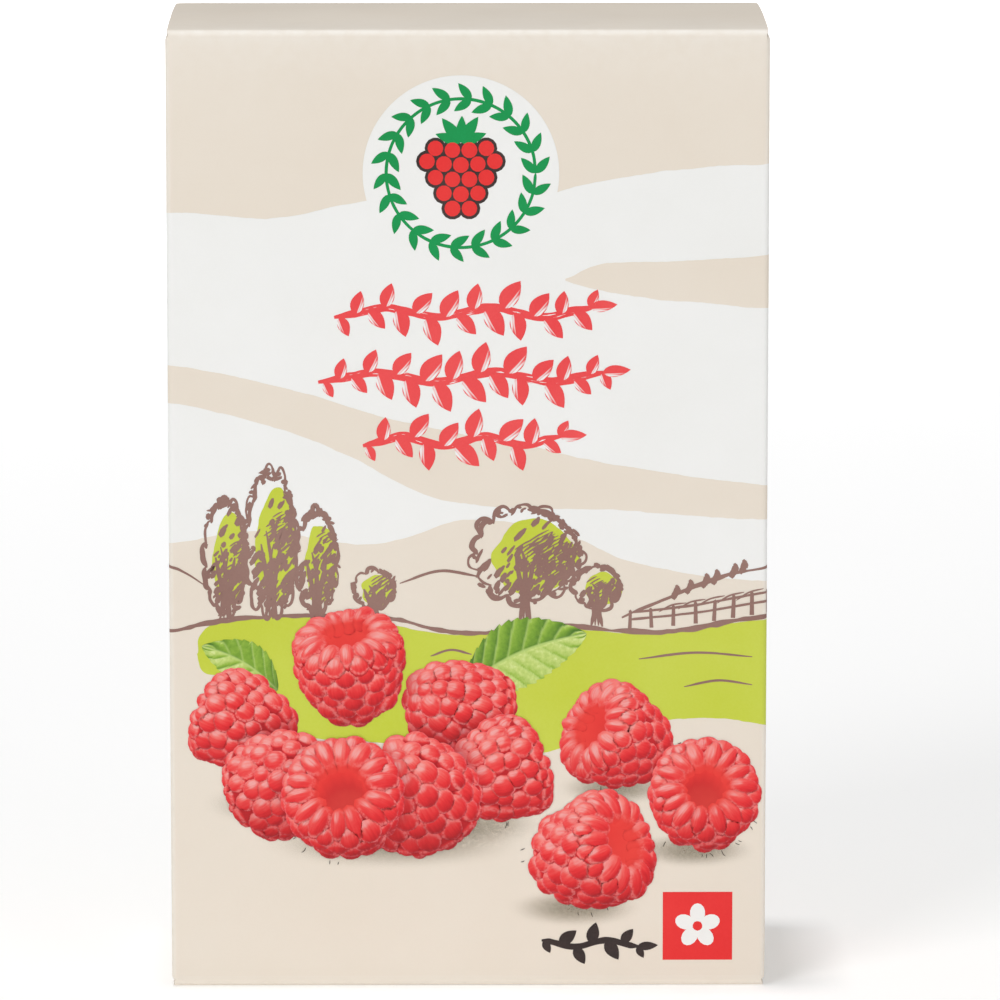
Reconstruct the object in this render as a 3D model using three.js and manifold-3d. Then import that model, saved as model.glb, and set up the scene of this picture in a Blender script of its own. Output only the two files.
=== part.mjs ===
// A shut folding carton for frozen berries, standing on its base, in millimetres with +Z up.
// The origin is the middle of the base, and the printed front faces -Y.
// One sheet of board makes the whole pack: four panels round the sleeve, joined by a glued seam at a
// back corner, and at each end two dust flaps, an inner flap from the back and an outer flap from the
// front, folded down on each other and glued. It is filled and shut, so it is one solid.
import * as THREE from "three";
import { mergeVertices } from "three/addons/utils/BufferGeometryUtils.js";
import Module from "manifold-3d";

const wasm = await Module();
wasm.setup();

// Driving dimensions
const WIDTH = 105;
const DEPTH = 48;
const HEIGHT = 170;
const BOARD = 0.45; // thickness of the board
const CREASE = 0.9; // outer radius of an upright crease
const END_FOLD = 1.3; // outer radius of the fold between the front and an outer end flap
const BULGE = 0.6; // how far the contents push out the middle of the front and of the back

// Worked out from the driving dimensions
const SLEEVE_HEIGHT = HEIGHT - 4 * BOARD; // up to the folds of the dust flaps, at both ends
const SLEEVE_BASE = 2 * BOARD;
const OUTER_FLAP_INSET = 0.5; // what the outer flap is short of the side panels, each side
const INNER_FLAP_INSET = 1.2;
const OUTER_FLAP_REACH = DEPTH / 2 - 0.8; // the cut edge of the outer flap, in from the back
const FLAP_ROOT = 4; // how deep a flap's solid runs into the sleeve, so that the two fuse
const SEAM_SHOWS = 1.3; // width of the glue flap's fold that shows beside the back panel's cut edge

// How finely the round and bulging faces are divided
const ARC_STEPS = 4;
const ACROSS_STEPS = 10;
const UP_STEPS = 12;

// A closed geometry as a solid that can be joined and cut.
function solidOf(geometry, placement = new THREE.Matrix4()) {
  const bare = new THREE.BufferGeometry();
  bare.setAttribute("position", geometry.getAttribute("position"));
  bare.applyMatrix4(placement);
  const merged = mergeVertices(bare, 1e-4);
  const vertProperties = new Float32Array(merged.getAttribute("position").array);
  const triVerts = new Uint32Array(merged.index.array);
  return new wasm.Manifold(new wasm.Mesh({ numProp: 3, vertProperties, triVerts }));
}

// A solid as a three.js geometry.
function geometryOf(solid) {
  const mesh = solid.getMesh();
  const geometry = new THREE.BufferGeometry();
  geometry.setAttribute("position", new THREE.BufferAttribute(new Float32Array(mesh.vertProperties), 3));
  geometry.setIndex(new THREE.BufferAttribute(new Uint32Array(mesh.triVerts), 1));
  geometry.computeVertexNormals();
  return geometry;
}

// The sleeve's plan, drawn inside its bevel: long sides in steps, so that they can bulge.
function sleevePlan() {
  const halfX = WIDTH / 2 - CREASE;
  const halfY = DEPTH / 2 - CREASE;
  const corner = 0.02; // a corner that the bevel opens out to the crease's radius
  const plan = new THREE.Shape();
  plan.moveTo(-halfX + corner, -halfY);
  for (let i = 1; i <= ACROSS_STEPS; i++) {
    plan.lineTo(-halfX + corner + (2 * (halfX - corner) * i) / ACROSS_STEPS, -halfY);
  }
  plan.absarc(halfX - corner, -halfY + corner, corner, -Math.PI / 2, 0, false);
  plan.lineTo(halfX, halfY - corner);
  plan.absarc(halfX - corner, halfY - corner, corner, 0, Math.PI / 2, false);
  for (let i = 1; i <= ACROSS_STEPS; i++) {
    plan.lineTo(halfX - corner - (2 * (halfX - corner) * i) / ACROSS_STEPS, halfY);
  }
  plan.absarc(-halfX + corner, halfY - corner, corner, Math.PI / 2, Math.PI, false);
  plan.lineTo(-halfX, -halfY + corner);
  plan.absarc(-halfX + corner, -halfY + corner, corner, Math.PI, 1.5 * Math.PI, false);
  return plan;
}

// How far the front or back stands out at a place on the panel: most in the middle, none at the creases.
function bulgeAt(x, z) {
  const across = Math.min(1, Math.abs(x) / (WIDTH / 2 - CREASE));
  const up = Math.min(1, Math.abs(z - HEIGHT / 2) / (SLEEVE_HEIGHT / 2 - CREASE));
  return BULGE * (1 - across ** 2) * (1 - up ** 2);
}

// The sleeve, with rounded creases and with front and back pushed out a little.
function sleeve() {
  const geometry = new THREE.ExtrudeGeometry(sleevePlan(), {
    depth: SLEEVE_HEIGHT - 2 * CREASE,
    steps: UP_STEPS,
    curveSegments: ARC_STEPS,
    bevelEnabled: true,
    bevelSize: CREASE,
    bevelThickness: CREASE,
    bevelSegments: ARC_STEPS,
  });
  geometry.translate(0, 0, SLEEVE_BASE + CREASE);
  const place = geometry.getAttribute("position");
  for (let i = 0; i < place.count; i++) {
    const onPanel = Math.abs(place.getY(i)) > DEPTH / 2 - 1e-3;
    if (onPanel) {
      const outwards = Math.sign(place.getY(i)) * bulgeAt(place.getX(i), place.getZ(i));
      place.setY(i, place.getY(i) + outwards);
    }
  }
  return solidOf(geometry);
}

// The corner that is cut away beside the back panel, which leaves the rounded fold of the glue flap.
function seamCut() {
  const side = -WIDTH / 2;
  const back = DEPTH / 2;
  const glueFlap = back - BOARD;
  const clear = 2;
  const plan = new THREE.Shape();
  plan.moveTo(side - clear, back + clear);
  plan.lineTo(side - clear, glueFlap - CREASE);
  plan.lineTo(side, glueFlap - CREASE);
  plan.absarc(side + CREASE, glueFlap - CREASE, CREASE, Math.PI, Math.PI / 2, true);
  plan.lineTo(side + SEAM_SHOWS, glueFlap);
  plan.lineTo(side + SEAM_SHOWS, back + clear);
  plan.closePath();
  const cut = new THREE.ExtrudeGeometry(plan, {
    depth: HEIGHT + 2 * clear,
    curveSegments: ARC_STEPS,
    bevelEnabled: false,
  });
  cut.translate(0, 0, -clear);
  return solidOf(cut);
}

// Extrudes a profile drawn in (y, z) along x, over a width centred on the pack.
function acrossPack(profile, width) {
  const geometry = new THREE.ExtrudeGeometry(profile, {
    depth: width,
    curveSegments: ARC_STEPS,
    bevelEnabled: false,
  });
  geometry.translate(0, 0, -width / 2);
  const lay = new THREE.Matrix4().makeBasis(
    new THREE.Vector3(0, 1, 0),
    new THREE.Vector3(0, 0, 1),
    new THREE.Vector3(1, 0, 0),
  );
  return solidOf(geometry, lay);
}

// The outer flap: it comes over the fold at the top of the front and ends in a cut edge near the back.
function outerFlap() {
  const front = -DEPTH / 2;
  const profile = new THREE.Shape();
  profile.moveTo(front, HEIGHT - FLAP_ROOT);
  profile.lineTo(OUTER_FLAP_REACH, HEIGHT - FLAP_ROOT);
  profile.lineTo(OUTER_FLAP_REACH, HEIGHT);
  profile.lineTo(front + END_FOLD, HEIGHT);
  profile.absarc(front + END_FOLD, HEIGHT - END_FOLD, END_FOLD, Math.PI / 2, Math.PI, false);
  profile.closePath();
  return acrossPack(profile, WIDTH - 2 * OUTER_FLAP_INSET);
}

// The inner flap: it folds forward from the back, one board's thickness below the outer flap.
function innerFlap() {
  const back = DEPTH / 2;
  const top = HEIGHT - BOARD;
  const profile = new THREE.Shape();
  profile.moveTo(0, HEIGHT - FLAP_ROOT);
  profile.lineTo(back, HEIGHT - FLAP_ROOT);
  profile.lineTo(back, top - CREASE);
  profile.absarc(back - CREASE, top - CREASE, CREASE, 0, Math.PI / 2, false);
  profile.lineTo(0, top);
  profile.closePath();
  return acrossPack(profile, WIDTH - 2 * INNER_FLAP_INSET);
}

// Both flaps of the top, and the same again turned over for the base.
function closures() {
  const top = outerFlap().add(innerFlap());
  const base = top.rotate([0, 180, 0]).translate([0, 0, HEIGHT]);
  return top.add(base);
}

function carton() {
  const solid = sleeve().add(closures()).subtract(seamCut());
  const printedBoard = new THREE.MeshStandardMaterial({
    color: new THREE.Color(0.91, 0.87, 0.81),
    roughness: 0.5,
    metalness: 0,
  });
  const mesh = new THREE.Mesh(geometryOf(solid), printedBoard);
  mesh.name = "carton";
  return mesh;
}

const pack = new THREE.Group();
pack.add(carton());

export default pack;
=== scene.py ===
# %% [markdown]
# A shut carton of raspberries. The real thing is one sheet of coated board, printed flat, creased, folded
# round and glued. So the print here is laid out flat too, in millimetres on the unfolded board, and one
# function folds all of it round the pack. It is made of shapes, and of finishes worked out by formula.

# %% Load the packed model as the frame
import math

import bmesh
import bpy
import numpy as np
from mathutils import Matrix, Vector


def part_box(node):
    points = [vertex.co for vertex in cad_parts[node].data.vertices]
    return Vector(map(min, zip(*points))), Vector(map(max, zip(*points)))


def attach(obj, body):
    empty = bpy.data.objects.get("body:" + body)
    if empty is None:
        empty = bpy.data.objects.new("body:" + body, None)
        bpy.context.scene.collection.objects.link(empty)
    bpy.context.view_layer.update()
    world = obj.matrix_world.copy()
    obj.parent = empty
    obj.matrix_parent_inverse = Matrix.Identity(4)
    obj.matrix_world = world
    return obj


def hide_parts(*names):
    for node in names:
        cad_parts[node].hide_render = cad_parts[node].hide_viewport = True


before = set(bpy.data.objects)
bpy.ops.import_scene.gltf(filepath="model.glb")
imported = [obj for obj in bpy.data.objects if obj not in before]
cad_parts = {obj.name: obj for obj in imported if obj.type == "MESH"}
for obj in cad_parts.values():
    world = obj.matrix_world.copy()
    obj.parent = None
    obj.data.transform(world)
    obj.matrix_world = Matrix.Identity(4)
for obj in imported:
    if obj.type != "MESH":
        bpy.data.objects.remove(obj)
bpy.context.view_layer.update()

MM = 0.001
scene = bpy.context.scene

# %% [markdown]
# The camera stands far off with a long lens, as in a packshot, so that the upright edges stay nearly
# parallel. It looks down just enough to show a narrow strip of the top.

# %% Camera
CAMERA_PLACE = (-0.0042, -1.3, 0.302)
CAMERA_PITCH = math.radians(9.55)  # below the horizon
CAMERA_YAW = math.radians(-0.44)
SENSOR = 36.0
FOCAL_PIXELS = 7383  # on an image 1000 pixels wide
lens = bpy.data.cameras.new("camera")
lens.sensor_width = SENSOR
lens.lens = FOCAL_PIXELS * SENSOR / 1000
camera = bpy.data.objects.new("camera", lens)
camera.location = CAMERA_PLACE
camera.rotation_euler = (math.pi / 2 - CAMERA_PITCH, 0, CAMERA_YAW)
scene.collection.objects.link(camera)
scene.camera = camera
scene.view_settings.view_transform = "Standard"
print("lens", round(lens.lens), "mm")

# %% [markdown]
# One helper builds every node tree below, for shading and for geometry. Written out node by node and link
# by link, a tree fills pages; with the helper it reads like the formula that it is.


# %% A helper for node trees
class Nodes:
    """Adds nodes to a tree, and gives each of their inputs, named or numbered, a value or a link."""

    def __init__(self, tree):
        self.tree = tree

    def give(self, socket, value):
        if isinstance(value, bpy.types.NodeSocket):
            self.tree.links.new(value, socket)
        else:
            socket.default_value = value

    def add(self, kind, inputs=None, **settings):
        made = self.tree.nodes.new(kind)
        for option, value in settings.items():
            setattr(made, option, value)
        for key, value in (inputs or {}).items():
            self.give(made.inputs[key], value)
        return made

    def out(self, kind, inputs=None, output=0, **settings):
        return self.add(kind, inputs, **settings).outputs[output]

    def math(self, kind, *values):
        return self.out("ShaderNodeMath", dict(enumerate(values)), operation=kind)

    def vector(self, kind, *values):
        return self.out("ShaderNodeVectorMath", dict(enumerate(values)), operation=kind)

    def mix(self, factor, first, second, kind="MIX"):
        inputs = {0: factor, 6: first, 7: second}
        return self.out("ShaderNodeMix", inputs, 2, data_type="RGBA", blend_type=kind)

    def spread(self, value, *ends, kind="SMOOTHSTEP"):
        """Maps a value smoothly from one range to another, or to 0 to 1, and never past its ends."""
        inputs = dict(enumerate((value, *ends)))
        return self.out("ShaderNodeMapRange", inputs, interpolation_type=kind)

    def slope(self, value, *ends):
        """The same in a straight line."""
        return self.spread(value, *ends, kind="LINEAR")

    def noise(self, place, scale, detail):
        return self.out("ShaderNodeTexNoise", {"Vector": place, "Scale": scale, "Detail": detail})

    def here(self):
        return self.out("ShaderNodeTexCoord", output="Object")

    def attribute(self, name, output="Fac"):
        return self.out("ShaderNodeAttribute", None, output, attribute_name=name)


print("it can", [name for name in vars(Nodes) if not name.startswith("_")])

# %% [markdown]
# A node group is a tree of its own with named sockets, so that it can be used in many places with other
# values. Colours are given as they read in a picture, from 0 to 255, and turned into the linear values that
# shaders work in.


# %% Groups and colours
def node_group(name, kind, inputs, outputs):
    """A new group: the helper for its tree, the sockets of its inputs and those of its outputs."""
    tree = bpy.data.node_groups.new(name, kind)
    for label, socket, value in inputs:
        made = tree.interface.new_socket(label, in_out="INPUT", socket_type="NodeSocket" + socket)
        if value is not None:
            made.default_value = value
    for label, socket in outputs:
        tree.interface.new_socket(label, in_out="OUTPUT", socket_type="NodeSocket" + socket)
    nodes = Nodes(tree)
    return nodes, nodes.add("NodeGroupInput").outputs, nodes.add("NodeGroupOutput").inputs


def linear(red, green, blue):
    """A picture's colour as linear light, with an alpha of 1."""
    channels = [c / 255 for c in (red, green, blue)]
    return [c / 12.92 if c <= 0.04045 else ((c + 0.055) / 1.055) ** 2.4 for c in channels] + [1.0]


print("a grey of 128 is", round(linear(128, 128, 128)[0], 3), "of full light")

# %% [markdown]
# The set is a pale floor that reaches past the horizon, lit a little from within like the acrylic sheet
# of a packshot table. A large soft light from the upper left and a weaker one from the right light the
# front. One overhead lays the short shadow beside the right side, and one behind lights only the floor:
# its cone is too narrow to reach the pack's top. All four are area lights, because a shadow is only as
# soft as its light is large.

# %% Floor and lights
FLOOR_SIZE = 9.0
FLOOR_DROP = 0.00004  # below the base, so that the two don't flicker
FLOOR_GLOW = 0.24
WHITE = (1, 1, 1, 1)


def make_floor():
    half = FLOOR_SIZE / 2
    mesh = bpy.data.meshes.new("floor")
    corners = [(-half, -half), (half, -half), (half, half), (-half, half)]
    mesh.from_pydata([(x, y + half / 2, -FLOOR_DROP) for x, y in corners], [], [(0, 1, 2, 3)])
    pale = bpy.data.materials.new("pale_floor")
    pale.use_nodes = True
    surface = pale.node_tree.nodes["Principled BSDF"]
    for label, value in (("Base Color", (0.95, 0.95, 0.95, 1)), ("Roughness", 0.6),
                         ("Emission Color", WHITE), ("Emission Strength", FLOOR_GLOW)):
        surface.inputs[label].default_value = value
    mesh.materials.append(pale)
    floor = bpy.data.objects.new("floor", mesh)
    scene.collection.objects.link(floor)


def soft_light(name, place, aim, width, height, watts, cone=180):
    lamp = bpy.data.lights.new(name, "AREA")
    lamp.shape = "RECTANGLE"
    lamp.size = width
    lamp.size_y = height
    lamp.energy = watts
    lamp.spread = math.radians(cone)
    holder = bpy.data.objects.new(name, lamp)
    holder.location = place
    holder.rotation_euler = (Vector(aim) - Vector(place)).to_track_quat("-Z", "Y").to_euler()
    scene.collection.objects.link(holder)


make_floor()
MIDDLE = (0, 0, 0.085)
soft_light("key_light", (-1.1, -1.5, 1.2), MIDDLE, 0.9, 0.9, 14.8)
soft_light("fill_light", (1.3, -1.6, 0.45), MIDDLE, 1.0, 1.4, 7.3)
soft_light("back_light", (-0.2, 2.2, 1.3), (-0.2, 2.2, 0), 3.2, 1.8, 25, cone=110)
soft_light("overhead_light", (-0.07, 0.0, 2.2), (-0.07, 0.0, 0), 0.15, 0.15, 15)
world = bpy.data.worlds.new("studio")
world.use_nodes = True
world.node_tree.nodes["Background"].inputs["Color"].default_value = WHITE
world.node_tree.nodes["Background"].inputs["Strength"].default_value = 0.3
scene.world = world
print("floor", FLOOR_SIZE, "m, 4 lights")

# %% [markdown]
# The carton's sizes come from the frame: the box of the CAD solid, less the swell of front and back. The
# crease radii and the board's thickness are those of the real board.

# %% Sizes of the carton
BULGE = 0.6 * MM
BOARD = 0.45 * MM
CREASE = 0.9 * MM
END_FOLD = 1.3 * MM
SEAM_SHOWS = 1.3 * MM  # the glue flap's fold beside the back panel's cut edge
LOW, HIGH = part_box("carton")
WIDTH = HIGH.x - LOW.x
DEPTH = HIGH.y - LOW.y - 2 * BULGE
HEIGHT = HIGH.z - LOW.z
SLEEVE_BASE = 2 * BOARD
SLEEVE_TOP = HEIGHT - 2 * BOARD
CREASE_STEPS = 8
PANEL_STEP = 6 * MM  # how finely the swollen panels are divided
print("carton in mm:", [round(v / MM, 2) for v in (WIDTH, DEPTH, HEIGHT)])

# %% [markdown]
# The sleeve's outline, seen from above, is walked once from the glue flap at the back left corner, along the
# left side, the front, the right side and the back, to the back panel's cut edge. The distance walked from
# the middle of the front is the place on the flat board.


# %% A walk round the sleeve
def sleeve_walk():
    """Rows of x, y, outward x, outward y along the sleeve's outline, from the glue flap to the cut edge."""
    half_x, half_y = WIDTH / 2, DEPTH / 2
    glue_y = half_y - BOARD
    corners = [  # the centre of each crease, and the direction in which its arc starts
        (-half_x + CREASE, glue_y - CREASE, 90),
        (-half_x + CREASE, -half_y + CREASE, 180),
        (half_x - CREASE, -half_y + CREASE, 270),
        (half_x - CREASE, half_y - CREASE, 360),
    ]
    rows = [(-half_x + SEAM_SHOWS, glue_y, 0, 1)]
    for x, y, start in corners:
        for i in range(CREASE_STEPS + 1):
            angle = math.radians(start + 90 * i / CREASE_STEPS)
            outwards = (math.cos(angle), math.sin(angle))
            rows.append((x + CREASE * outwards[0], y + CREASE * outwards[1], *outwards))
    rows.append((-half_x + SEAM_SHOWS, half_y, 0, 1))
    return np.array(rows)


def divide(rows, step, margin):
    """Adds rows on each long straight: one a margin from either end, and the rest a step apart."""
    out = [rows[0]]
    for a, b in zip(rows, rows[1:]):
        length = math.hypot(*(b - a)[:2])
        if length > 3 * margin:
            inner = np.linspace(margin, length - margin, max(2, round(length / step)))
            out += [a + (b - a) * d / length for d in inner]
        out.append(b)
    return np.array(out)


WALK = divide(sleeve_walk(), PANEL_STEP, 1.3 * MM)
walked = np.concatenate([[0], np.cumsum(np.hypot(*np.diff(WALK[:, :2], axis=0).T))])
on_front = np.abs(WALK[:, 3] + 1) < 1e-6
ALONG = walked - np.interp(0, WALK[on_front, 0], walked[on_front])  # from the middle of the front
print("board in mm from", round(ALONG[0] / MM, 1), "to", round(ALONG[-1] / MM, 1))

# %% [markdown]
# Folding is one lookup on that walk. Any point of the print goes to its place on it, and stands off the
# board by its layer's lift and by the swell of a full pack. A Curve or Shrinkwrap modifier could bend the
# print too, but the lookup keeps layers parallel that are hundredths of a millimetre apart.


# %% The fold
def bulge(x, z):
    """How far the contents push out the front and the back there."""
    across = np.minimum(1, np.abs(x) / (WIDTH / 2 - CREASE))
    up = np.minimum(1, np.abs(z - HEIGHT / 2) / ((SLEEVE_TOP - SLEEVE_BASE) / 2 - CREASE))
    return BULGE * (1 - across**2) * (1 - up**2)


def onto_pack(along, z, lift):
    """Folds places on the flat board, with their height and lift, round the pack. All in metres."""
    x, y, out_x, out_y = (np.interp(along, ALONG, WALK[:, i]) for i in range(4))
    size = np.hypot(out_x, out_y)
    off = lift + bulge(x, z)
    return np.stack([x + out_x / size * off, y + out_y / size * off, z + 0 * x], axis=-1)


LEFT_EDGE = ALONG[0] / MM + 1.9  # the print stops where the left side turns into the glue flap
RIGHT_EDGE = ALONG[-1] / MM - 0.1
SIDE_MIDDLE = float(WIDTH / 2 + DEPTH / 2 - CREASE * (4 - math.pi) / 2) / MM
BACK_MIDDLE = float(ALONG[-1] - (WIDTH / 2 - SEAM_SHOWS)) / MM
print("middle of a side", round(SIDE_MIDDLE, 1), "and of the back", round(BACK_MIDDLE, 1))

# %% [markdown]
# The finishes share two node groups. Coated board has a faint fibre and a slightly uneven gloss under its
# varnish, the same under every ink. Offset ink is never quite even either: it has soft, cloudy mottling.
# Each group is built once and used by every material, and the mottle is given each ink's own scale.


# %% Shader groups shared by board and inks
def make_varnish():
    """Uneven gloss and the faint relief of coated board: gives a roughness and a normal."""
    nodes, enter, leave = node_group(
        "varnish", "ShaderNodeTree", [("Gloss Low", "Float", 0.44), ("Gloss High", "Float", 0.58)],
        [("Roughness", "Float"), ("Normal", "Vector")])
    place = nodes.here()
    fibre = nodes.noise(nodes.out("ShaderNodeMapping", {"Vector": place, "Scale": (1, 1, 0.35)}), 900, 3)
    height = nodes.math("MULTIPLY_ADD", fibre, 0.35, nodes.noise(place, 240, 2))
    rough = nodes.slope(nodes.noise(place, 45, 3), 0.3, 0.7, enter["Gloss Low"], enter["Gloss High"])
    nodes.give(leave["Roughness"], rough)
    relief = {"Strength": 0.35, "Distance": 0.00006, "Height": height}
    nodes.give(leave["Normal"], nodes.out("ShaderNodeBump", relief))
    return nodes.tree


def make_mottle():
    """Soft clouds and fine specks of uneven ink: gives a mask around a half."""
    nodes, enter, leave = node_group(
        "ink_mottle", "ShaderNodeTree", [("Scale", "Float", 60.0)], [("Mask", "Float")])
    place = nodes.here()
    clouds = nodes.noise(place, enter["Scale"], 4)
    both = nodes.math("MULTIPLY_ADD", nodes.noise(place, 2600, 1), 0.25, clouds)
    nodes.give(leave["Mask"], nodes.slope(both, 0.42, 0.86))
    return nodes.tree


VARNISH = make_varnish()
MOTTLE = make_mottle()
print("groups:", VARNISH.name, MOTTLE.name)

# %% [markdown]
# With the groups, a finish needs only its own colour. A function draws that colour's nodes, and the varnish
# goes over it. The constants stay on the surface's own sockets.


# %% Helpers for finishes
def new_finish(name, **sockets):
    """A material, the helper for its tree, and the inputs of its surface, with plain values set there."""
    finish = bpy.data.materials.new(name)
    finish.use_nodes = True
    surface = finish.node_tree.nodes["Principled BSDF"].inputs
    for label, value in sockets.items():
        surface[label].default_value = value
    return finish, Nodes(finish.node_tree), surface


def varnished(name, ior, paint, *colours):
    """A finish under the varnish, whose colour is what a function makes of its nodes and some colours."""
    finish, nodes, surface = new_finish(name, IOR=ior)
    nodes.give(surface["Base Color"], paint(nodes, *colours))
    coat = nodes.add("ShaderNodeGroup", node_tree=VARNISH)
    for label in ("Roughness", "Normal"):
        nodes.give(surface[label], coat.outputs[label])
    return finish


def mottled(nodes, thin, full, scale=60.0):
    """An ink's colour, between where it lies thin and where it lies full."""
    return nodes.mix(nodes.out("ShaderNodeGroup", {"Scale": scale}, node_tree=MOTTLE), thin, full)


print("the varnish has the sockets", [socket.name for socket in VARNISH.interface.items_tree])

# %% [markdown]
# Two finishes for the board itself. The printed board is a little lighter along each crease, partly worn
# coating and partly a painted highlight, which a vertex attribute called fold marks. The same attribute
# carries a painted band of light beside the fold at the top, which fades out over some millimetres. Drawn
# into a picture, such marks would have to be redone for a pack of another size, but the attribute is
# worked out with the shape. A cut edge shows the grey brown core between two white coats.

# %% Finishes of the board
CREAM = linear(233, 222, 207)
PAPER_WHITE = linear(244, 244, 242)


def creased(nodes, thin, full):
    chips = nodes.spread(nodes.noise(nodes.here(), 420, 4), 0.3, 0.65, 0.6, 0.95)
    # The fold attribute lightens the board: worn coating and painted highlight along the creases, and painted
    # light beside the top fold.
    wear_and_painted_light = nodes.math("MULTIPLY", nodes.attribute("fold"), chips)
    return nodes.mix(wear_and_painted_light, mottled(nodes, thin, full), linear(246, 241, 233))


def cut_board():
    finish, nodes, surface = new_finish("cut_board", IOR=1.4)
    core = nodes.noise(nodes.here(), 1800, 5)
    colour = nodes.mix(nodes.spread(core, 0.3, 0.7), linear(186, 178, 168), linear(214, 207, 197))
    nodes.give(surface["Base Color"], colour)
    nodes.give(surface["Roughness"], nodes.spread(core, 0.3, 0.7, 0.75, 0.95))
    relief = {"Strength": 0.6, "Distance": 0.00008, "Height": core}
    nodes.give(surface["Normal"], nodes.out("ShaderNodeBump", relief))
    return finish


BOARD_FINISH = varnished("cream_board", 1.3, creased, linear(235, 225, 211), CREAM)
WHITE_FINISH = varnished("white_board", 1.3, creased, PAPER_WHITE, linear(241, 241, 238))
CUT_FINISH = cut_board()
print("finishes:", BOARD_FINISH.name, WHITE_FINISH.name, CUT_FINISH.name)

# %% [markdown]
# Every piece starts as a mesh made from points, with its attributes, and often as a grid of points, whose
# faces follow from its rows and columns. Reading or setting all points at once, as numpy arrays, is many
# times faster than going through them one by one.


# %% Helpers for meshes
def mesh_of(name, points, faces=(), **attributes):
    mesh = bpy.data.meshes.new(name)
    mesh.from_pydata(np.asarray(points, float).tolist(), [], faces)
    set_attributes(mesh, **attributes)
    return mesh


def set_attributes(mesh, **attributes):
    """Sets one number or one vector for each point, by the shape of the values."""
    for label, values in attributes.items():
        values = np.asarray(values, np.float32)
        kind, field = ("FLOAT_VECTOR", "vector") if values.ndim == 2 else ("FLOAT", "value")
        mesh.attributes.new(label, kind, "POINT").data.foreach_set(field, values.ravel())


def grid_faces(rows, columns, first=0, closed=False):
    """The faces between rows of points, numbered from the first. Closed joins the ends of each row."""
    faces = []
    for j in range(rows - 1):
        for i in range(columns if closed else columns - 1):
            a, b = (first + j * columns + k % columns for k in (i, i + 1))
            faces.append((a, b, b + columns, a + columns))
    return faces


def places_of(mesh):
    flat = np.zeros(len(mesh.vertices) * 3)
    mesh.vertices.foreach_get("co", flat)
    return flat.reshape(-1, 3)


def move(mesh, places):
    mesh.vertices.foreach_set("co", places.astype(np.float32).ravel())
    return mesh


def edited(mesh, change, *values):
    """Runs a change on a mesh in its editable form."""
    shape = bmesh.new()
    shape.from_mesh(mesh)
    change(shape, *values)
    shape.to_mesh(mesh)
    shape.free()
    return mesh


print("3 rows of 4 points:", len(grid_faces(3, 4)), "faces,", len(grid_faces(3, 4, closed=True)), "if closed")

# %% [markdown]
# The last step is the same for every piece. It shades the mesh smooth up to an angle, makes an object of it
# at the origin, lets it ride on the one body, and hides the CAD solid that it stands for. Board has two
# materials, one for what is printed and one for what is cut.


# %% Helpers for pieces
def settle(name, mesh, materials, sharp=180):
    mesh.name = name
    mesh.materials.clear()
    for material in materials:
        mesh.materials.append(material)
    mesh.shade_smooth()
    mesh.set_sharp_from_angle(angle=math.radians(sharp))
    mesh.update()
    piece = bpy.data.objects.new(name, mesh)
    scene.collection.objects.link(piece)
    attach(piece, "root")
    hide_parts("carton")
    print(name, len(mesh.polygons), "faces")


def settle_board(name, points, faces, raw, fold, change):
    """A piece of bare board: printed outside, and raw where the board is cut or not printed."""
    mesh = mesh_of(name, points, faces, fold=fold)
    mesh.polygons.foreach_set("material_index", np.array(raw, np.int32))
    settle(name, edited(mesh, change), [BOARD_FINISH, CUT_FINISH], sharp=35)


print("pieces stand for a solid of", [round(v / MM, 1) for v in HIGH - LOW], "mm")

# %% [markdown]
# The sleeve is the walk above, repeated ring by ring from the folds of the base to the folds of the top.
# A full sleeve swells a little, and each end turns in over a small radius where its dust flaps fold. The
# strip that closes the loop is the back panel's cut edge, in raw board. A box with a Bevel modifier would
# be quicker to make, but it has no seam, and its panels are dead flat.

# %% Sleeve
TOP_FOLD_PAINTED_LIGHT = 0.45  # painted light: how much lighter the board is painted beside the top fold
TOP_FOLD_LIGHT_FADE = 6 * MM
WALL_RINGS = 26


def sleeve_rings():
    """Pairs of inset and height, up the outside of the sleeve."""
    turn = [math.radians(90 * i / CREASE_STEPS) for i in range(CREASE_STEPS + 1)]
    corner = [(CREASE * (1 - math.cos(a)), CREASE * (1 - math.sin(a))) for a in turn]
    base = [(inset, SLEEVE_BASE + down) for inset, down in reversed(corner)]
    top = [(inset, SLEEVE_TOP - down) for inset, down in corner]
    wall = np.linspace(SLEEVE_BASE + 2.4 * CREASE, SLEEVE_TOP - 2.4 * CREASE, WALL_RINGS)
    return base + [(0, z) for z in wall] + top


def weld(shape):
    bmesh.ops.remove_doubles(shape, verts=shape.verts, dist=1e-6)


def make_sleeve():
    rings, count = sleeve_rings(), len(ALONG)
    points = np.concatenate([onto_pack(ALONG, z, -inset) for inset, z in rings])
    upright = np.abs(WALK[:, 2] * WALK[:, 3])  # a half in the middle of an upright crease
    marks = []
    for inset, z in rings:
        # Painted light: the board is painted lighter towards the top fold, fading downwards. The crease terms
        # are partly wear and partly painted highlight.
        beside = TOP_FOLD_PAINTED_LIGHT * math.exp((z - SLEEVE_TOP) / TOP_FOLD_LIGHT_FADE)
        marks.append(np.maximum(upright, max(beside, min(1.0, 1.4 * inset / CREASE))))
    faces = grid_faces(len(rings), count, closed=True)
    raw = [k % count == count - 1 for k in range(len(faces))] + [False, False]
    faces.append(tuple(reversed(range(count))))
    faces.append(tuple(range((len(rings) - 1) * count, len(rings) * count)))
    settle_board("sleeve", points, faces, raw, np.concatenate(marks), weld)


make_sleeve()

# %% [markdown]
# Each end closes with an inner flap from the back and an outer flap from the front, glued down on it. A
# flap is one sheet bent over its fold, so it is drawn as a profile with the board's thickness, carried
# across the pack, with its free corners rounded off by the cutting die and its cut edges raw. A Solidify
# modifier could thicken a bent sheet as well, but here every face knows whether it is printed or cut.

# %% End flaps
ACROSS = np.linspace(-1, 1, 25)  # the places across a flap


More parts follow.
